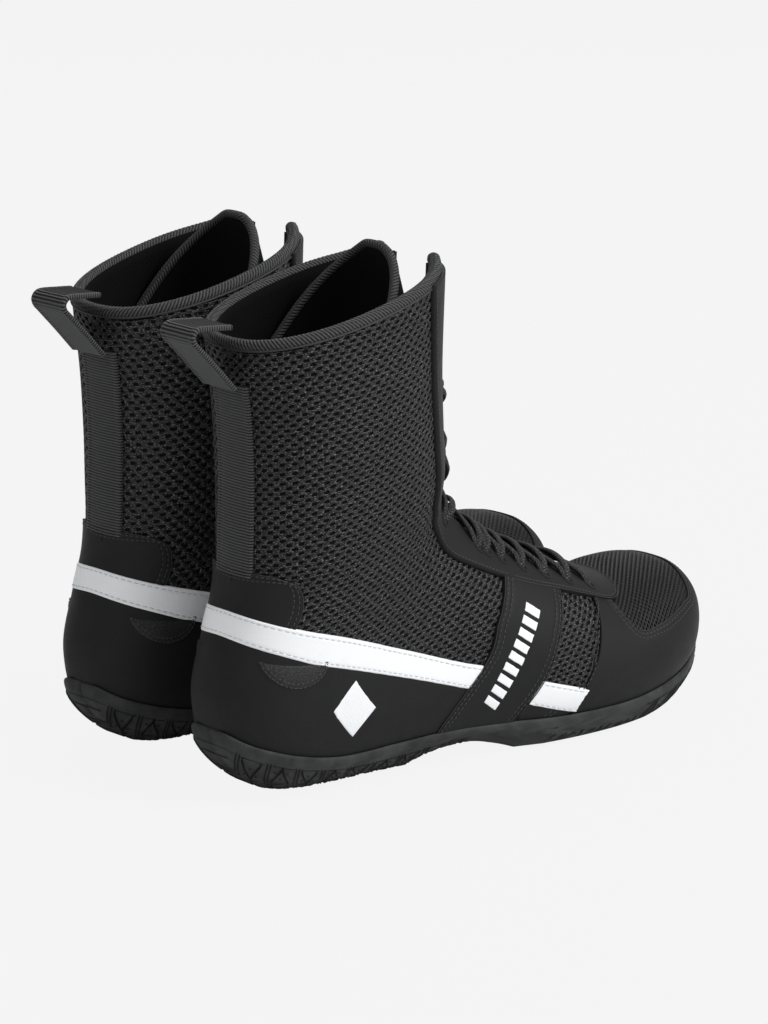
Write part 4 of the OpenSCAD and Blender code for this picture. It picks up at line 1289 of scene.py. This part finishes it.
def emboss(wall, where, side):
    """How far each point of the sole's wall moves in for its moulded grooves: leaning double grooves with a
    framed zigzag and dots between them. Also how much painted shade darkens each point in its groove, from 0
    to 1."""
    up = lengths(wall, 1)
    tall = up[:, -1:]
    y = wall[:, -1:, 1]
    heel = np.clip((BAND_END - y) / BAND_OVER, 0, 1)
    band = FRONT_LIP_BAND + (LIP_BAND - FRONT_LIP_BAND) * heel
    low, high = FOOT_BAND, np.maximum(tall - band, LEAST_TALL)
    q = (up - low) / (high - low)
    cell = (where[:, None] - LEAN * (up - low)) / CELL
    x = (cell - np.floor(cell)) * CELL
    tiers = np.where(high - low > TIER_TALL, 2, 1)
    height = (high - low) / tiers
    tier = np.floor(q * tiers)
    in_tier = q * tiers - tier
    flip = (np.floor(cell) % 2 + tier) % 2

    double = sum(line_at(x - place, THIN_HALF) for place in THIN_GROOVES)
    t = (x - FIELD_START) / FIELD
    h = np.where(flip > 0, 1 - in_tier, in_tier)
    slope = height / FIELD * 2
    away = (h - ZIG_LOW - ZIG_TALL * np.abs(2 * t - 1)) * height / np.hypot(1, ZIG_TALL * slope)
    zigzag = line_at(away, THICK_HALF) * ((t > 0) & (t < 1))
    frame = sum(line_at((in_tier - line) * height, FRAME_HALF) for line in FRAME_LINES)
    frame = frame * (x > FRAME_START) * (x < CELL)
    dots = sum(line_at(np.hypot(x - FIELD_START - c * FIELD, (h - k) * height), THICK_HALF) for c, k in DOTS)

    deep = np.clip(double + zigzag + frame + dots, 0, 1) * GROOVE_DEEP
    zone = np.clip((q + 0.02) / 0.04, 0, 1) * np.clip((1.02 - q) / 0.04, 0, 1)
    smooth = np.clip((np.abs(y - SMOOTH_MIDDLE) - SMOOTH_HALF) / SMOOTH_FADE, 0, 1)
    beside_ball = (y > BALL_START) & (y < BALL_END)
    deep = np.where(beside_ball & (q > PART_WAY), 0, deep) * zone * smooth
    at_foot = np.clip(q / SHALLOW, 0, 1) * np.clip((high - low) / FULL_TALL, 0.15, 1)
    normal = side * np.cross(np.gradient(wall, axis=0), np.gradient(wall, axis=1))
    normal /= np.maximum(np.linalg.norm(normal, axis=-1, keepdims=True), 1e-9)
    return normal * (deep * at_foot)[..., None], deep / GROOVE_DEEP


right_half, left_half = sole_half(1), sole_half(-1)
outer, inner, dark = (np.concatenate([b[:, :0:-1], a], 1) for a, b in zip(right_half, left_half))
for piece in add_shell("sole", outer, inner, lengths(outer, 0), lengths(outer, 1), RUBBER, "ball",
                       ("outsole_rear", "outsole_front", "heel_tread", "ball_tread")):
    # Keep the painted shade of the grooves on the sole, where the rubber's colour reads it
    grooves = piece.data.attributes.new("groove", "FLOAT", "POINT")
    grooves.data.foreach_set("value", np.concatenate([dark.ravel(), np.zeros(dark.size)]))

# Insole cloth over the floor of the boot
SOCK_EDGE = [(9, 30), (28, 23.2), (60, 19.2), (90, 18.4), (120, 18), (150, 17.6), (178, 16), (205, 15),
             (232, 15.5), (258, 18.5), (279, 24.5), (289, 30)]
SOCK = (-5.6, -0.6)
sock = np.array(places(along(np.array(SOCK_EDGE, float), np.linspace(0, len(SOCK_EDGE) - 1, 120))))
sock_v = np.linspace(-1, 1, 40)
sheet_of("insole", sock[:, :1] + 0 * sock_v, sock[:, 1:] * sock_v, SOCK, INSOLE, "ball",
         ("insole_rear", "insole_front"))

# ---------------------------------------------------------------- printed marks and the half-round patch

HEEL_MARK, SADDLE_MARK, PATCH = (0.9, 1.9), (2.0, 2.85), (1.2, 1.95)


def mark(name, corners, depths, mover):
    """A flat white print on the outside of the boot, from its lower edge to its upper one."""
    panel(name, *patch(SIDE, side_points(corners[:2]), side_points(corners[2:])), depths, TRIM, mover)


# A plain white diamond on the side of the heel
DIAMOND = [(45.5, 49), (58.5, 33.5), (58.5, 62.5), (71.5, 46)]
mark("heel_mark", DIAMOND, HEEL_MARK, "foot")

# A stack of plain bars up the saddle, with gaps between them
BARS, BAR_HALF, BAR_SHARE = 9, 4.6, (0.14, 0.86)
stack_low, stack_top = np.array([139, 33.0]), np.array([171, 77.0])
stack_way = (stack_top - stack_low) / np.linalg.norm(stack_top - stack_low)
over = BAR_HALF * np.array([stack_way[1], -stack_way[0]])
for k in range(BARS):
    foot, head = (stack_low + (stack_top - stack_low) * (k + share) / BARS for share in BAR_SHARE)
    mark(f"saddle_mark_{k + 1}", [foot - over, foot + over, head - over, head + over], SADDLE_MARK, "ball")

# The half-round knitted patch sewn into the back of the foxing, flat side up. Both its edges fall by
# PATCH_FALL from point to point
PATCH_MIDDLE, PATCH_TOP, PATCH_HALF, PATCH_DROP, PATCH_FALL = 27, 76.5, 15, 12.5, 0.3
for side, name in FLANKS:
    turns = np.radians(np.linspace(180, 360, 9))
    bow = [(PATCH_MIDDLE + PATCH_HALF * math.cos(t), PATCH_TOP + PATCH_DROP * math.sin(t) - PATCH_FALL * k)
           for k, t in enumerate(turns)]
    flat = [(PATCH_MIDDLE - PATCH_HALF + PATCH_HALF * k / 4, PATCH_TOP + 0.6 - PATCH_FALL * k)
            for k in range(9)]
    s, angle = patch(SIDE, side_points(bow, side), side_points(flat, side))
    panel(f"heel_patch_{name}", s, angle, PATCH, PATCH_NET, "foot")
    for inset in (1.4, 3.4):
        seam_of(*inset_line(s, angle, "low", inset), PATCH[1] + 0.05, 2.4, ("foot", "black"))

finish_stitches()

# ---------------------------------------------------------------- camera, lights and floor

FLOOR_SIZE = 40
VIEW_AZIMUTH, VIEW_RISE = 226.5, 15.45
VIEW_TARGET = Vector((-0.047, -0.0061, 0.106))
VIEW_DISTANCE = 1.9
LENS, SENSOR = 135.8, 36
# How far the camera looks past the target, as shares of the distance
OFF_RIGHT, OFF_UP = -0.014885, 0.004867

azimuth, rise = math.radians(VIEW_AZIMUTH), math.radians(VIEW_RISE)
back = Vector((math.sin(azimuth) * math.cos(rise), -math.cos(azimuth) * math.cos(rise), math.sin(rise)))
right = (-back).cross(Vector((0, 0, 1))).normalized()
up = right.cross(-back)
camera_data = bpy.data.cameras.new("camera")
camera_data.sensor_width = SENSOR
camera_data.lens = LENS
camera_data.clip_end = 100
camera = bpy.data.objects.new("camera", camera_data)
camera.location = VIEW_TARGET + back * VIEW_DISTANCE
camera.rotation_mode = "QUATERNION"
camera.rotation_quaternion = (-back + right * OFF_RIGHT + up * OFF_UP).to_track_quat("-Z", "Y")
bpy.context.scene.collection.objects.link(camera)
bpy.context.scene.camera = camera
bpy.context.scene.view_settings.view_transform = "Standard"

# Where each light stands from the target (back, right, up), its size and its power
LIGHTS = (("key", (0.7, 2.0, 1.6), 1.1, 64), ("fill", (1.6, -1.0, 1.3), 1.4, 9),
          ("top", (0, 0, 2.3), 2.2, 18), ("behind", (-1.8, 0, 1.4), 1.6, 14))
ground_back = Vector((back.x, back.y, 0)).normalized()
for name, (far, aside, high), size, watts in LIGHTS:
    place = ground_back * far + right * aside + Vector((0, 0, high))
    data = bpy.data.lights.new(name, "AREA")
    data.size = size
    data.energy = watts
    light = bpy.data.objects.new(name, data)
    light.location = VIEW_TARGET + place
    light.rotation_euler = (-place).to_track_quat("-Z", "Y").to_euler()
    bpy.context.scene.collection.objects.link(light)


def add_shader(tree, kind, colour, strength=None):
    """Adds a white or grey shader node and gives its output."""
    node = tree.nodes.new(kind)
    node.inputs["Color"].default_value = (colour, colour, colour, 1)
    if strength is not None:
        node.inputs["Strength"].default_value = strength
    return node.outputs[0]


def split_rays(tree, lighting, seen, output):
    """Shows one shader to the camera and another one to all other rays."""
    pick = tree.nodes.new("ShaderNodeMixShader")
    camera_ray = tree.nodes.new("ShaderNodeLightPath").outputs["Is Camera Ray"]
    for k, source in enumerate((camera_ray, lighting, seen)):
        tree.links.new(source, pick.inputs[k])
    tree.links.new(pick.outputs[0], tree.nodes[output].inputs["Surface"])


AMBIENT, BACKDROP = 0.27, 0.896
# The floor: what it gives back to the boots, and its own shade and glow that the camera sees
BOUNCE, SHADE, GLOW = 0.75, 0.02, 0.884
world = bpy.data.worlds.new("world")
bpy.context.scene.world = world
world.use_nodes = True
split_rays(world.node_tree, add_shader(world.node_tree, "ShaderNodeBackground", 1, AMBIENT),
           add_shader(world.node_tree, "ShaderNodeBackground", BACKDROP, 1), "World Output")

floor_mesh = bpy.data.meshes.new("floor")
half = FLOOR_SIZE / 2
corners = [(-half, -half, 0), (half, -half, 0), (half, half, 0), (-half, half, 0)]
floor_mesh.from_pydata(corners, [], [(0, 1, 2, 3)])
floor = bpy.data.objects.new("floor", floor_mesh)
bpy.context.scene.collection.objects.link(floor)
paper = bpy.data.materials.new("floor_paper")
paper.use_nodes = True
tree = paper.node_tree
both = tree.nodes.new("ShaderNodeAddShader")
tree.links.new(add_shader(tree, "ShaderNodeBsdfDiffuse", SHADE), both.inputs[0])
tree.links.new(add_shader(tree, "ShaderNodeEmission", 1, GLOW), both.inputs[1])
split_rays(tree, add_shader(tree, "ShaderNodeBsdfDiffuse", BOUNCE), both.outputs[0], "Material Output")
floor_mesh.materials.append(paper)
